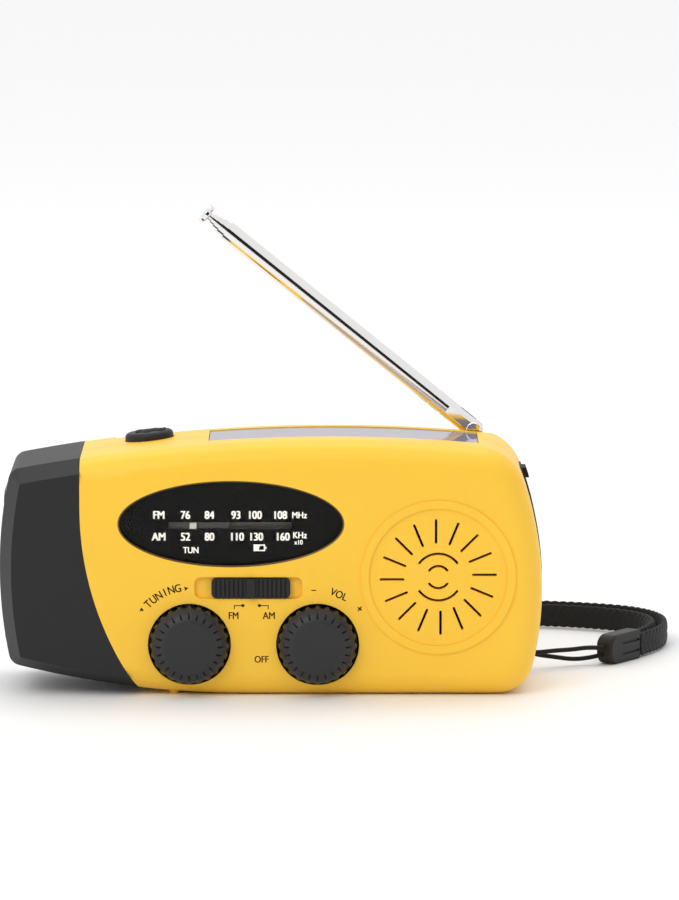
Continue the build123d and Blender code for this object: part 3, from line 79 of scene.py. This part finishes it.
def makeGrain():
    group, given, made = makeGroup(
        "mouldedGrain",
        [("Colour", "NodeSocketColor", (0.5, 0.5, 0.5, 1.0)), ("Roughness", "NodeSocketFloat", 0.4),
         ("Grain Scale", "NodeSocketFloat", 1800.0), ("Shade Spread", "NodeSocketFloat", 0.06),
         ("Roughness Spread", "NodeSocketFloat", 0.12)],
        [("Colour", "NodeSocketColor"), ("Roughness", "NodeSocketFloat"), ("Height", "NodeSocketFloat")],
    )
    link = group.links.new
    place = addNode(group, "ShaderNodeTexCoord")
    fine = addNode(group, "ShaderNodeTexNoise", {"Detail": 3.0, "Roughness": 0.6})  # eroded mould texture
    broad = addNode(group, "ShaderNodeTexNoise", {"Scale": 55.0, "Detail": 4.0})  # handling and flow marks
    link(place.outputs["Object"], fine.inputs["Vector"])
    link(place.outputs["Object"], broad.inputs["Vector"])
    link(given.outputs["Grain Scale"], fine.inputs["Scale"])
    centred = addNode(group, "ShaderNodeMath", {1: 0.5}, operation="SUBTRACT")
    link(broad.outputs["Fac"], centred.inputs[0])
    shade = addNode(group, "ShaderNodeMath", {2: 1.0}, operation="MULTIPLY_ADD")
    link(centred.outputs[0], shade.inputs[0])
    link(given.outputs["Shade Spread"], shade.inputs[1])
    tint = addNode(group, "ShaderNodeVectorMath", operation="SCALE")
    link(given.outputs["Colour"], tint.inputs[0])
    link(shade.outputs[0], tint.inputs["Scale"])
    link(tint.outputs[0], made.inputs["Colour"])
    rough = addNode(group, "ShaderNodeMath", operation="MULTIPLY_ADD", use_clamp=True)
    link(centred.outputs[0], rough.inputs[0])
    link(given.outputs["Roughness Spread"], rough.inputs[1])
    link(given.outputs["Roughness"], rough.inputs[2])
    link(rough.outputs[0], made.inputs["Roughness"])
    link(fine.outputs["Fac"], made.inputs["Height"])
    return group


def makeStreaks():
    group, given, made = makeGroup(
        "drawnMetal",
        [("Roughness", "NodeSocketFloat", 0.1), ("Stretch", "NodeSocketVector", (40.0, 900.0, 900.0))],
        [("Roughness", "NodeSocketFloat"), ("Height", "NodeSocketFloat")],
    )
    link = group.links.new
    place = addNode(group, "ShaderNodeTexCoord")
    spread = addNode(group, "ShaderNodeVectorMath", operation="MULTIPLY")
    noise = addNode(group, "ShaderNodeTexNoise", {"Scale": 3.0, "Detail": 2.0})
    link(place.outputs["Object"], spread.inputs[0])
    link(given.outputs["Stretch"], spread.inputs[1])
    link(spread.outputs[0], noise.inputs["Vector"])
    rough = addNode(group, "ShaderNodeMath", {1: 0.08}, operation="MULTIPLY_ADD", use_clamp=True)
    link(noise.outputs["Fac"], rough.inputs[0])
    link(given.outputs["Roughness"], rough.inputs[2])
    link(rough.outputs[0], made.inputs["Roughness"])
    link(noise.outputs["Fac"], made.inputs["Height"])
    return group


grain = makeGrain()
streaks = makeStreaks()


def linear(*rgb):
    return tuple((c / 255 / 12.92) if c < 10 else ((c / 255 + 0.055) / 1.055) ** 2.4 for c in rgb) + (1.0,)


def startMaterial(name):
    material = bpy.data.materials.new(name)
    material.use_nodes = True
    return material, material.node_tree, material.node_tree.nodes["Principled BSDF"]


def mouldedPlastic(name, colour, roughness, bump=0.0, scale=1800.0, spread=0.05, coat=0.0, shine=0.5, glow=0.0):
    material, tree, surface = startMaterial(name)
    look = addNode(tree, "ShaderNodeGroup", node_tree=grain)
    for label, value in (("Colour", colour), ("Roughness", roughness), ("Grain Scale", scale),
                         ("Shade Spread", spread), ("Roughness Spread", 0.1)):
        look.inputs[label].default_value = value
    raised = addNode(tree, "ShaderNodeBump", {"Strength": bump, "Distance": 0.0001})
    tree.links.new(look.outputs["Colour"], surface.inputs["Base Color"])
    tree.links.new(look.outputs["Roughness"], surface.inputs["Roughness"])
    tree.links.new(look.outputs["Height"], raised.inputs["Height"])
    tree.links.new(raised.outputs["Normal"], surface.inputs["Normal"])
    surface.inputs["Specular IOR Level"].default_value = shine
    # glow adds painted light: the surface emits its own colour
    surface.inputs["Emission Color"].default_value = colour
    surface.inputs["Emission Strength"].default_value = glow
    surface.inputs["Coat Weight"].default_value = coat
    surface.inputs["Coat Roughness"].default_value = 0.08
    return material


def metal(name, colour, roughness, stretch=(60.0, 1200.0, 1200.0), bump=0.02):
    material, tree, surface = startMaterial(name)
    look = addNode(tree, "ShaderNodeGroup", {"Roughness": roughness, "Stretch": stretch}, node_tree=streaks)
    raised = addNode(tree, "ShaderNodeBump", {"Strength": bump, "Distance": 0.00005})
    surface.inputs["Base Color"].default_value = colour
    surface.inputs["Metallic"].default_value = 1.0
    tree.links.new(look.outputs["Roughness"], surface.inputs["Roughness"])
    tree.links.new(look.outputs["Height"], raised.inputs["Height"])
    tree.links.new(raised.outputs["Normal"], surface.inputs["Normal"])
    return material


def clearSheet(name, tint, index=1.45, roughness=0.03, body=None, cover=0.0):
    material, tree, surface = startMaterial(name)
    tree.nodes.remove(surface)
    result = tree.nodes["Material Output"]
    through = addNode(tree, "ShaderNodeBsdfTransparent", {"Color": tint})
    shine = addNode(tree, "ShaderNodeBsdfGlossy", {"Roughness": roughness})
    edge = addNode(tree, "ShaderNodeFresnel", {"IOR": index})
    gloss = addNode(tree, "ShaderNodeMixShader")
    under = through.outputs[0]
    if body:
        milk = addNode(tree, "ShaderNodeBsdfDiffuse", {"Color": body})
        veil = addNode(tree, "ShaderNodeMixShader", {"Fac": cover})
        tree.links.new(through.outputs[0], veil.inputs[1])
        tree.links.new(milk.outputs[0], veil.inputs[2])
        under = veil.outputs[0]
    tree.links.new(edge.outputs[0], gloss.inputs["Fac"])
    tree.links.new(under, gloss.inputs[1])
    tree.links.new(shine.outputs[0], gloss.inputs[2])
    tree.links.new(gloss.outputs[0], result.inputs["Surface"])
    return material


def cellMaterial():
    material, tree, surface = startMaterial("solarCellFilm")
    place = addNode(tree, "ShaderNodeTexCoord")
    lines = addNode(tree, "ShaderNodeTexWave", {"Scale": 70.0, "Distortion": 0.0},
                    wave_type="BANDS", bands_direction="X")
    step = addNode(tree, "ShaderNodeValToRGB")
    step.color_ramp.elements[0].position = 0.93
    step.color_ramp.elements[0].color = linear(58, 56, 84)
    step.color_ramp.elements[1].position = 0.97
    step.color_ramp.elements[1].color = linear(170, 170, 182)
    tree.links.new(place.outputs["Object"], lines.inputs["Vector"])
    tree.links.new(lines.outputs["Fac"], step.inputs["Fac"])
    tree.links.new(step.outputs["Color"], surface.inputs["Base Color"])
    surface.inputs["Roughness"].default_value = 0.25
    return material


def pointerMaterial():
    material, tree, surface = startMaterial("pointerPlastic")
    place = addNode(tree, "ShaderNodeTexCoord")
    parts = addNode(tree, "ShaderNodeSeparateXYZ")
    front = addNode(tree, "ShaderNodeMath", {1: -0.0176}, operation="LESS_THAN")  # blade before stays white; the rack behind the plate, white on the real part, is painted dark grey as painted shade
    shade = addNode(tree, "ShaderNodeMix", data_type="RGBA")
    shade.inputs[6].default_value = linear(96, 94, 92)
    shade.inputs[7].default_value = linear(242, 240, 234)
    tree.links.new(place.outputs["Object"], parts.inputs[0])
    tree.links.new(parts.outputs["Y"], front.inputs[0])
    tree.links.new(front.outputs[0], shade.inputs[0])
    tree.links.new(shade.outputs[2], surface.inputs["Base Color"])
    surface.inputs["Roughness"].default_value = 0.4
    return material


def strapMaterial(name, colour, scale):
    material, tree, surface = startMaterial(name)
    place = addNode(tree, "ShaderNodeTexCoord")
    fibre = addNode(tree, "ShaderNodeTexNoise", {"Scale": scale, "Detail": 6.0, "Roughness": 0.7})
    tone = addNode(tree, "ShaderNodeValToRGB")
    tone.color_ramp.elements[0].position = 0.3
    tone.color_ramp.elements[0].color = tuple(c * 0.45 for c in colour[:3]) + (1.0,)
    tone.color_ramp.elements[1].position = 0.72
    tone.color_ramp.elements[1].color = tuple(min(c * 2.2, 1.0) for c in colour[:3]) + (1.0,)
    raised = addNode(tree, "ShaderNodeBump", {"Strength": 0.6, "Distance": 0.00015})
    tree.links.new(place.outputs["Object"], fibre.inputs["Vector"])
    tree.links.new(fibre.outputs["Fac"], tone.inputs["Fac"])
    tree.links.new(tone.outputs["Color"], surface.inputs["Base Color"])
    tree.links.new(fibre.outputs["Fac"], raised.inputs["Height"])
    tree.links.new(raised.outputs["Normal"], surface.inputs["Normal"])
    surface.inputs["Roughness"].default_value = 0.7
    surface.inputs["Specular IOR Level"].default_value = 0.3
    surface.inputs["Sheen Weight"].default_value = 0.08
    surface.inputs["Sheen Roughness"].default_value = 0.4
    return material


looks = {
    "yellow": mouldedPlastic("yellowShell", linear(255, 203, 62), 0.4, bump=0.05, spread=0.05, shine=0.35),
    "darkGrey": mouldedPlastic("darkMoulding", linear(40, 40, 41), 0.5, bump=0.2, scale=2400.0, spread=0.2,
                               shine=0.25),
    "knob": mouldedPlastic("knobPlastic", linear(46, 46, 47), 0.42, bump=0.15, scale=2600.0, spread=0.2,
                           shine=0.3),
    "black": mouldedPlastic("blackPlastic", linear(18, 18, 19), 0.34, bump=0.06, spread=0.2, shine=0.3),
    "dialBlack": mouldedPlastic("dialPaint", linear(7, 7, 7), 0.35, bump=0.02, spread=0.1, shine=0.1),
    "slot": mouldedPlastic("switchPlastic", linear(28, 28, 28), 0.5, bump=0.1, spread=0.15, shine=0.3),
    "white": mouldedPlastic("whitePlastic", linear(236, 234, 228), 0.4, bump=0.04, spread=0.04),
    "rubber": mouldedPlastic("softCover", linear(20, 20, 21), 0.62, bump=0.14, scale=3000.0, spread=0.2,
                             shine=0.3),
    "board": mouldedPlastic("boardLaminate", linear(34, 92, 52), 0.45, bump=0.1, spread=0.15, coat=0.4),
    "ferrite": mouldedPlastic("ferriteRod", linear(44, 42, 42), 0.7, bump=0.3, spread=0.2),
    "cone": mouldedPlastic("paperCone", linear(28, 27, 27), 0.85, bump=0.5, scale=900.0, spread=0.3),
    "print": mouldedPlastic("shellInk", linear(30, 22, 12), 0.5, spread=0.1),
    # painted light: the white dial ink glows faintly with glow 0.3, with no lamp behind it
    "dialPrint": mouldedPlastic("dialInkPaintedGlow", linear(255, 255, 250), 0.5, spread=0.03, glow=0.3),
    "track": mouldedPlastic("scaleTrack", linear(150, 144, 140), 0.6, spread=0.1),
    # dark brown ring colour: painted shade of the dial window's recess wall
    "rimShade": mouldedPlastic("dialRimPaintedShade", linear(96, 72, 34), 0.32, bump=0.02),
    "chrome": metal("chromePlate", (0.8, 0.79, 0.78, 1.0), 0.04, stretch=(40.0, 40.0, 40.0), bump=0.0),
    "steel": metal("plainSteel", (0.56, 0.56, 0.57, 1.0), 0.28, bump=0.05),
    "brass": metal("brass", (0.72, 0.52, 0.25, 1.0), 0.25, bump=0.05),
    "copper": metal("copperWire", (0.72, 0.33, 0.18, 1.0), 0.3, stretch=(3000.0, 200.0, 200.0), bump=0.4),
    "clear": clearSheet("clearLens", (0.96, 0.97, 0.98, 1.0), index=1.49),
    "window": clearSheet("dialGlass", (0.97, 0.96, 0.95, 1.0), index=1.16, roughness=0.02),
    "solar": clearSheet("solarGlaze", (0.75, 0.74, 0.8, 1.0), index=1.6, roughness=0.05,
                        body=linear(196, 192, 206), cover=0.62),
    "cell": cellMaterial(),
    "pointer": pointerMaterial(),
    "strap": strapMaterial("strapBraid", linear(13, 13, 14), 2600.0),
    "cordBraid": strapMaterial("cordBraid", linear(12, 12, 13), 4200.0),
}

finishes = {
    "yellow": ["front_shell", "rear_shell"],
    "darkGrey": ["end_cap", "torch_button", "switch_slider", "strap_slider", "lanyard_bar"],
    "knob": ["tuning_knob", "volume_knob"],
    "black": ["crank_arm", "crank_link", "crank_knob", "crank_bushing", "battery_holder", "battery"],
    "dialBlack": ["dial_plate"],
    "slot": ["speaker_frame", "tuning_capacitor", "volume_control", "torch_switch"],
    "white": ["tuning_gear", "tuning_idler", "crank_gear", "reduction_gear", "band_switch"],
    "rubber": ["port_cover"],
    "board": ["main_board", "port_board", "torch_boards"],
    "ferrite": ["ferrite_rod", "speaker_magnet"],
    "cone": ["speaker_cone"],
    "chrome": ["antenna_tube", "antenna_section_1", "antenna_section_2", "antenna_section_3", "antenna_rod",
               "antenna_fork", "antenna_base", "antenna_screw", "torch_reflector"],
    "steel": ["case_screws", "small_screws", "crank_screw", "link_pin", "gear_pins", "gear_plate", "dynamo",
              "port_sockets"],
    "brass": ["dynamo_rotor", "battery_contacts"],
    "copper": ["ferrite_coil"],
    "clear": ["torch_lens", "torch_leds"],
    "window": ["dial_window"],
    "solar": ["solar_cover"],
    "cell": ["solar_cell"],
    "pointer": ["dial_pointer"],
}
for look, names in finishes.items():
    for name in names:
        for slot in nodes[name].material_slots:
            slot.material = looks[look]
print("stage: finishes assigned")


def addWords(sheet, words, x, z, height, y, turn=0.0, weight=0.00005):
    curve = bpy.data.curves.new("words", "FONT")
    curve.body = words
    curve.size = height / 1000 / 0.7
    curve.align_x, curve.align_y = "CENTER", "CENTER"
    holder = bpy.data.objects.new("words", curve)
    scene.collection.objects.link(holder)
    bpy.context.view_layer.update()
    flat = bpy.data.meshes.new_from_object(holder)
    upright = Matrix.Rotation(-math.radians(turn), 4, "Y") @ Matrix.Rotation(math.pi / 2, 4, "X")
    flat.transform(upright @ Matrix.Scale(0.84, 4, (1.0, 0.0, 0.0)))  # a narrow face
    for shift in (-weight, weight):
        place = Matrix.Translation((x / 1000 + shift, y, z / 1000))
        flat.transform(place)
        sheet.from_mesh(flat)
        flat.transform(place.inverted())
    bpy.data.objects.remove(holder)
    bpy.data.meshes.remove(flat)


def addOutline(sheet, points, y):
    sheet.faces.new([sheet.verts.new((x / 1000, y, z / 1000)) for x, z in points])


def addStroke(sheet, points, width, y):
    for (x0, z0), (x1, z1) in zip(points, points[1:]):
        run = Vector((x1 - x0, z1 - z0)).normalized() * width / 2
        across = Vector((-run.y, run.x))
        a, b = Vector((x0, z0)) - run, Vector((x1, z1)) + run
        addOutline(sheet, [tuple(a - across), tuple(b - across), tuple(b + across), tuple(a + across)], y)


def finishSheet(name, sheet, material, body, flat=True):
    mesh = bpy.data.meshes.new(name)
    bmesh.ops.recalc_face_normals(sheet, faces=sheet.faces)
    for face in sheet.faces:
        if flat and face.normal.y > 0:
            face.normal_flip()
    sheet.to_mesh(mesh)
    sheet.free()
    mesh.materials.append(material)
    piece = bpy.data.objects.new(name, mesh)
    scene.collection.objects.link(piece)
    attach(piece, body)
    return piece


dial = {
    "face": -0.01852,
    "size": 1.9,
    "rows": [
        (43.3, [("FM", -26.5), ("76", -20.2), ("84", -14.5), ("93", -8.2), ("100", -3.8), ("108", 2.2)]),
        (38.1, [("AM", -26.5), ("52", -20.2), ("80", -14.5), ("110", -8.05), ("130", -3.5), ("160", 2.8)]),
    ],
    "small": [
        ("MHz", 6.8, 43.3, 1.55), ("KHz", 6.9, 38.5, 1.55), ("x10", 6.6, 36.8, 1.1), ("TUN", -18.9, 34.9, 1.5),
    ],
    "weight": 0.00011,
    "smallWeight": 0.00005,
    "battery": [(-3.9, 34.9), (-1.5, 34.9), (-1.5, 36.2), (-3.9, 36.2), (-3.9, 34.9)],
    "batteryFill": [(-3.9, 34.9), (-2.9, 34.9), (-2.5, 36.2), (-3.9, 36.2)],
    "batteryTip": [(-1.35, 35.25), (-1.0, 35.25), (-1.0, 35.85), (-1.35, 35.85)],
    "stroke": 0.3,
}
sheet = bmesh.new()
for z, row in dial["rows"]:
    for words, x in row:
        addWords(sheet, words, x, z, dial["size"], dial["face"], weight=dial["weight"])
for words, x, z, height in dial["small"]:
    addWords(sheet, words, x, z, height, dial["face"], weight=dial["smallWeight"])
addStroke(sheet, dial["battery"], dial["stroke"], dial["face"])
addOutline(sheet, dial["batteryFill"], dial["face"])
addOutline(sheet, dial["batteryTip"], dial["face"])
finishSheet("dialPrint", sheet, looks["dialPrint"], "case")

shellMarks = {
    "face": -0.02053,
    "words": [
        ("FM", -8.8, 19.5, 1.7, 0.0), ("AM", -0.4, 19.5, 1.7, 0.0), ("OFF", -2.2, 9.0, 1.6, 0.0),
        ("−", 10.2, 25.5, 1.9, 0.0), ("VOL", 16.1, 24.6, 1.8, -24.0), ("+", 21.0, 21.1, 2.0, -38.0),
    ],
    "dot": 0.38,
    "line": 0.2,
    "arrow": 0.6,
    "dots": [(-6.6, 22.0), (-2.7, 22.0)],
    "lines": [[(-6.6, 22.0), (-8.6, 22.0), (-8.6, 21.2)], [(-2.7, 22.0), (-0.6, 22.0), (-0.6, 21.2)]],
    "triangles": [((-30.6, 21.0), 220.0), ((-20.1, 26.1), 10.0)],
    "arc": {"centre": (-19.3, 12.6), "radius": 13.7, "first": 135.0, "step": -6.75, "size": 1.9},
}
sheet = bmesh.new()
for words, x, z, height, turn in shellMarks["words"]:
    addWords(sheet, words, x, z, height, shellMarks["face"], turn)
for x, z in shellMarks["dots"]:
    turns = [math.tau * k / 20 for k in range(20)]
    dot = [(x + shellMarks["dot"] * math.cos(t), z + shellMarks["dot"] * math.sin(t)) for t in turns]
    addOutline(sheet, dot, shellMarks["face"])
for run in shellMarks["lines"]:
    addStroke(sheet, run, shellMarks["line"], shellMarks["face"])
for (x, z), heading in shellMarks["triangles"]:
    tips = [math.radians(heading + 120 * k) for k in range(3)]
    arrow = [(x + shellMarks["arrow"] * math.cos(t), z + shellMarks["arrow"] * math.sin(t)) for t in tips]
    addOutline(sheet, arrow, shellMarks["face"])
arc = shellMarks["arc"]
for index, letter in enumerate("TUNING"):
    angle = arc["first"] + index * arc["step"]
    x = arc["centre"][0] + arc["radius"] * math.cos(math.radians(angle))
    z = arc["centre"][1] + arc["radius"] * math.sin(math.radians(angle))
    addWords(sheet, letter, x, z, arc["size"], shellMarks["face"], angle - 90)
finishSheet("shellPrint", sheet, looks["print"], "case")
print("stage: printing done")

track = {"low": (-24.4, -15.8, 39.3), "high": (5.2, -15.62, 42.3), "soften": 0.00006}
sheet = bmesh.new()
bmesh.ops.create_cube(sheet, size=1.0)
for vertex in sheet.verts:
    ends = zip(track["low"], track["high"], vertex.co)
    vertex.co = [(low + (high - low) * (share + 0.5)) / 1000 for low, high, share in ends]
bmesh.ops.bevel(sheet, geom=sheet.edges[:], offset=track["soften"], segments=2, affect="EDGES")
finishSheet("dialTrack", sheet, looks["track"], "case", flat=False)

# thin dark brown ring laid round the dial window: painted shade where the recess wall falls into shadow
rimShade = {"centre": (-9.4, 41.5), "half": (26.75, 10.25), "y": -0.0201, "radius": 0.0003, "points": 96}
curve = bpy.data.curves.new("dialRimShade", "CURVE")
curve.dimensions = "3D"
curve.bevel_depth = rimShade["radius"]
curve.bevel_resolution = 3
spline = curve.splines.new("POLY")
spline.points.add(rimShade["points"] - 1)
for k in range(rimShade["points"]):
    angle = math.tau * k / rimShade["points"]
    x = rimShade["centre"][0] + rimShade["half"][0] * math.cos(angle)
    z = rimShade["centre"][1] + rimShade["half"][1] * math.sin(angle)
    spline.points[k].co = (x / 1000, rimShade["y"], z / 1000, 1.0)
spline.use_cyclic_u = True
curve.materials.append(looks["rimShade"])
dialRimShade = bpy.data.objects.new("dialRimShade", curve)
scene.collection.objects.link(dialRimShade)
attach(dialRimShade, "case")


def surfaceHeight(node, x, y):
    found = nodes[node].ray_cast(Vector((x, y, 1.0)), Vector((0.0, 0.0, -1.0)))
    return found[1].z if found[0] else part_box(node)[1].z


symbol = {"half": 0.0034, "wave": 0.0007, "radius": 0.00028, "rows": (-0.0016, 0.0, 0.0016)}
low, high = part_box("torch_button")
centre = (low + high) / 2
curve = bpy.data.curves.new("torchSymbol", "CURVE")
curve.dimensions = "3D"
curve.bevel_depth = symbol["radius"]
curve.bevel_resolution = 3
curve.use_fill_caps = True
for row in symbol["rows"]:
    spline = curve.splines.new("POLY")
    spline.points.add(24)
    for k in range(25):
        x = centre.x + symbol["half"] * (k / 12 - 1)
        y = centre.y + row + symbol["wave"] * math.sin(math.tau * k / 12)
        spline.points[k].co = (x, y, surfaceHeight("torch_button", x, y), 1.0)
curve.materials.append(looks["darkGrey"])
torchSymbol = bpy.data.objects.new("torchSymbol", curve)
scene.collection.objects.link(torchSymbol)
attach(torchSymbol, "torch_key")
print("stage: small details done")


def nurbsRoute(name, points):
    route = bpy.data.curves.new(name, "CURVE")
    route.dimensions = "3D"
    route.resolution_u = 24
    run = route.splines.new("NURBS")
    run.points.add(len(points) - 1)
    for target, point in zip(run.points, points):
        target.co = (*point, 1.0)
    run.order_u = 3
    run.use_endpoint_u = True
    return route


strapCordRoute = [
    (0.0808, 0.0230, 0.0043), (0.0772, 0.0212, 0.0048), (0.0730, 0.0190, 0.0046), (0.0685, 0.0169, 0.0047),
    (0.0642, 0.0145, 0.0046), (0.0606, 0.0136, 0.0051), (0.0571, 0.0136, 0.0056), (0.0571, 0.0168, 0.0054),
    (0.0606, 0.0173, 0.0048), (0.0644, 0.0184, 0.0034), (0.0686, 0.0202, 0.0026), (0.0730, 0.0223, 0.0016),
    (0.0772, 0.0237, 0.0017), (0.0803, 0.0234, 0.0025),
]
curve = nurbsRoute("strapCord", strapCordRoute)
curve.bevel_depth = 0.00055
curve.bevel_resolution = 5
curve.use_fill_caps = True
curve.materials.append(looks["cordBraid"])
strapCord = bpy.data.objects.new("strapCord", curve)
scene.collection.objects.link(strapCord)
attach(strapCord, "case")
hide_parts("strap_cord")

band = {
    "level": 0.0033, "width": 0.0058, "thickness": 0.0016, "stitch": 0.0021, "scallop": 0.00022,
    "relief": 0.00016, "step": 0.0003, "around": 36,
    "route": [
        (0.0877, 0.0352), (0.0910, 0.0422), (0.0936, 0.0488), (0.0945, 0.0560), (0.0927, 0.0636),
        (0.0874, 0.0696), (0.0800, 0.0740), (0.0710, 0.0772), (0.0605, 0.0790), (0.0490, 0.0785),
        (0.0380, 0.0740), (0.0265, 0.0670), (0.0130, 0.0625), (0.0, 0.0655), (-0.0065, 0.0765),
        (-0.0015, 0.0880), (0.0120, 0.0940), (0.0270, 0.0930), (0.0425, 0.0885), (0.0575, 0.0844),
        (0.0700, 0.0826), (0.0800, 0.0796), (0.0880, 0.0758), (0.0936, 0.0704), (0.0968, 0.0630),
        (0.0975, 0.0550), (0.0965, 0.0475), (0.0938, 0.0405), (0.0899, 0.0337),
    ],
}


def evenPoints(points, step):
    run = [0.0]
    for a, b in zip(points, points[1:]):
        run.append(run[-1] + (b - a).length)
    count = int(run[-1] / step)
    spaced, at = [], 0
    for k in range(count + 1):
        reach = run[-1] * k / count
        while at < len(points) - 2 and run[at + 1] < reach:
            at += 1
        spaced.append(points[at].lerp(points[at + 1], (reach - run[at]) / (run[at + 1] - run[at])))
    return spaced


def braidSection(distance, turn):
    across, up = math.cos(turn), math.sin(turn)
    bulge = abs(math.sin(math.pi * distance / band["stitch"]))
    height = band["width"] / 2 - band["scallop"] * (1.0 - bulge)
    side = math.copysign(abs(across) ** 0.55, across) * band["thickness"] / 2
    level = math.copysign(abs(up) ** 0.75, up)
    chevron = abs(math.sin(math.pi * (distance / band["stitch"] + abs(level) * 1.1)))
    furrow = math.exp(-(level / 0.09) ** 2)
    depth = band["relief"] * ((1.0 - chevron) + furrow) * min(1.0, abs(across) * 3)
    return side - math.copysign(min(depth, abs(side)), side), level * height


route = [(x, y, band["level"]) for x, y in band["route"]]
holder = bpy.data.objects.new("strapRoute", nurbsRoute("strapRoute", route))
scene.collection.objects.link(holder)
bpy.context.view_layer.update()
wire = bpy.data.meshes.new_from_object(holder)
wirePoints = [vertex.co.copy() for vertex in wire.vertices]
bpy.data.objects.remove(holder)
centres = evenPoints(wirePoints, band["step"])
shell = bmesh.new()
rings = []
for k, point in enumerate(centres):
    along = (centres[min(k + 1, len(centres) - 1)] - centres[max(k - 1, 0)]).normalized()
    side = Vector((along.y, -along.x, 0.0))
    ring = []
    for index in range(band["around"]):
        out, up = braidSection(k * band["step"], math.tau * index / band["around"])
        ring.append(shell.verts.new(point + side * out + Vector((0.0, 0.0, up))))
    rings.append(ring)
for before, after in zip(rings, rings[1:]):
    for index in range(band["around"]):
        follow = (index + 1) % band["around"]
        shell.faces.new((before[index], before[follow], after[follow], after[index]))
shell.faces.new(rings[0])
shell.faces.new(list(reversed(rings[-1])))
bmesh.ops.recalc_face_normals(shell, faces=shell.faces)
mesh = bpy.data.meshes.new("strapBand")
shell.to_mesh(mesh)
shell.free()
mesh.polygons.foreach_set("use_smooth", [True] * len(mesh.polygons))
mesh.materials.append(looks["strap"])
strapBand = bpy.data.objects.new("strapBand", mesh)
scene.collection.objects.link(strapBand)
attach(strapBand, "case")
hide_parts("strap_band")
print("stage: strap laid")

backdrop = {"half": 12.0, "colour": (0.93, 0.93, 0.93, 1.0)}
ground = bpy.data.meshes.new("floor")
half = backdrop["half"]
corners = [(-half, -half, 0), (half, -half, 0), (half, half, 0), (-half, half, 0)]
ground.from_pydata(corners, [], [(0, 1, 2, 3)])
floor = bpy.data.objects.new("floor", ground)
scene.collection.objects.link(floor)
material, tree, surface = startMaterial("paleFloor")
surface.inputs["Base Color"].default_value = backdrop["colour"]
surface.inputs["Roughness"].default_value = 0.7
ground.materials.append(material)

world = bpy.data.worlds.new("studio")
world.use_nodes = True
world.node_tree.nodes["Background"].inputs["Color"].default_value = (1.0, 1.0, 1.0, 1.0)
world.node_tree.nodes["Background"].inputs["Strength"].default_value = 1.0
scene.world = world


def softLight(name, place, aim, size, power):
    lamp = bpy.data.lights.new(name, "AREA")
    lamp.shape = "RECTANGLE"
    lamp.size, lamp.size_y = size
    lamp.energy = power
    holder = bpy.data.objects.new(name, lamp)
    holder.location = place
    holder.rotation_euler = (Vector(aim) - Vector(place)).to_track_quat("-Z", "Y").to_euler()
    scene.collection.objects.link(holder)


softLight("keyLight", (-0.55, -0.9, 0.95), (0.0, 0.0, 0.03), (0.6, 0.6), 4.0)
softLight("topLight", (0.15, 0.35, 1.1), (0.0, 0.0, 0.05), (0.9, 0.5), 2.5)
darkCards = {  # dark streaks for the chrome
    "backCard": [(-0.9, -1.75, 0.0), (0.9, -1.75, 0.0), (0.9, -1.75, 1.0), (-0.9, -1.75, 1.0)],
    "sideCard": [(0.75, -0.5, 0.25), (0.95, 0.2, 0.25), (0.95, 0.2, 0.75), (0.75, -0.5, 0.75)],
}
material, tree, surface = startMaterial("darkCard")
surface.inputs["Base Color"].default_value = (0.01, 0.01, 0.01, 1.0)
surface.inputs["Roughness"].default_value = 1.0
for name, corners in darkCards.items():
    mesh = bpy.data.meshes.new(name)
    mesh.from_pydata(corners, [], [(0, 1, 2, 3)])
    mesh.materials.append(material)
    card = bpy.data.objects.new(name, mesh)
    scene.collection.objects.link(card)
    card.visible_camera = False
scene.view_settings.view_transform = "Standard"
print("stage: light set")
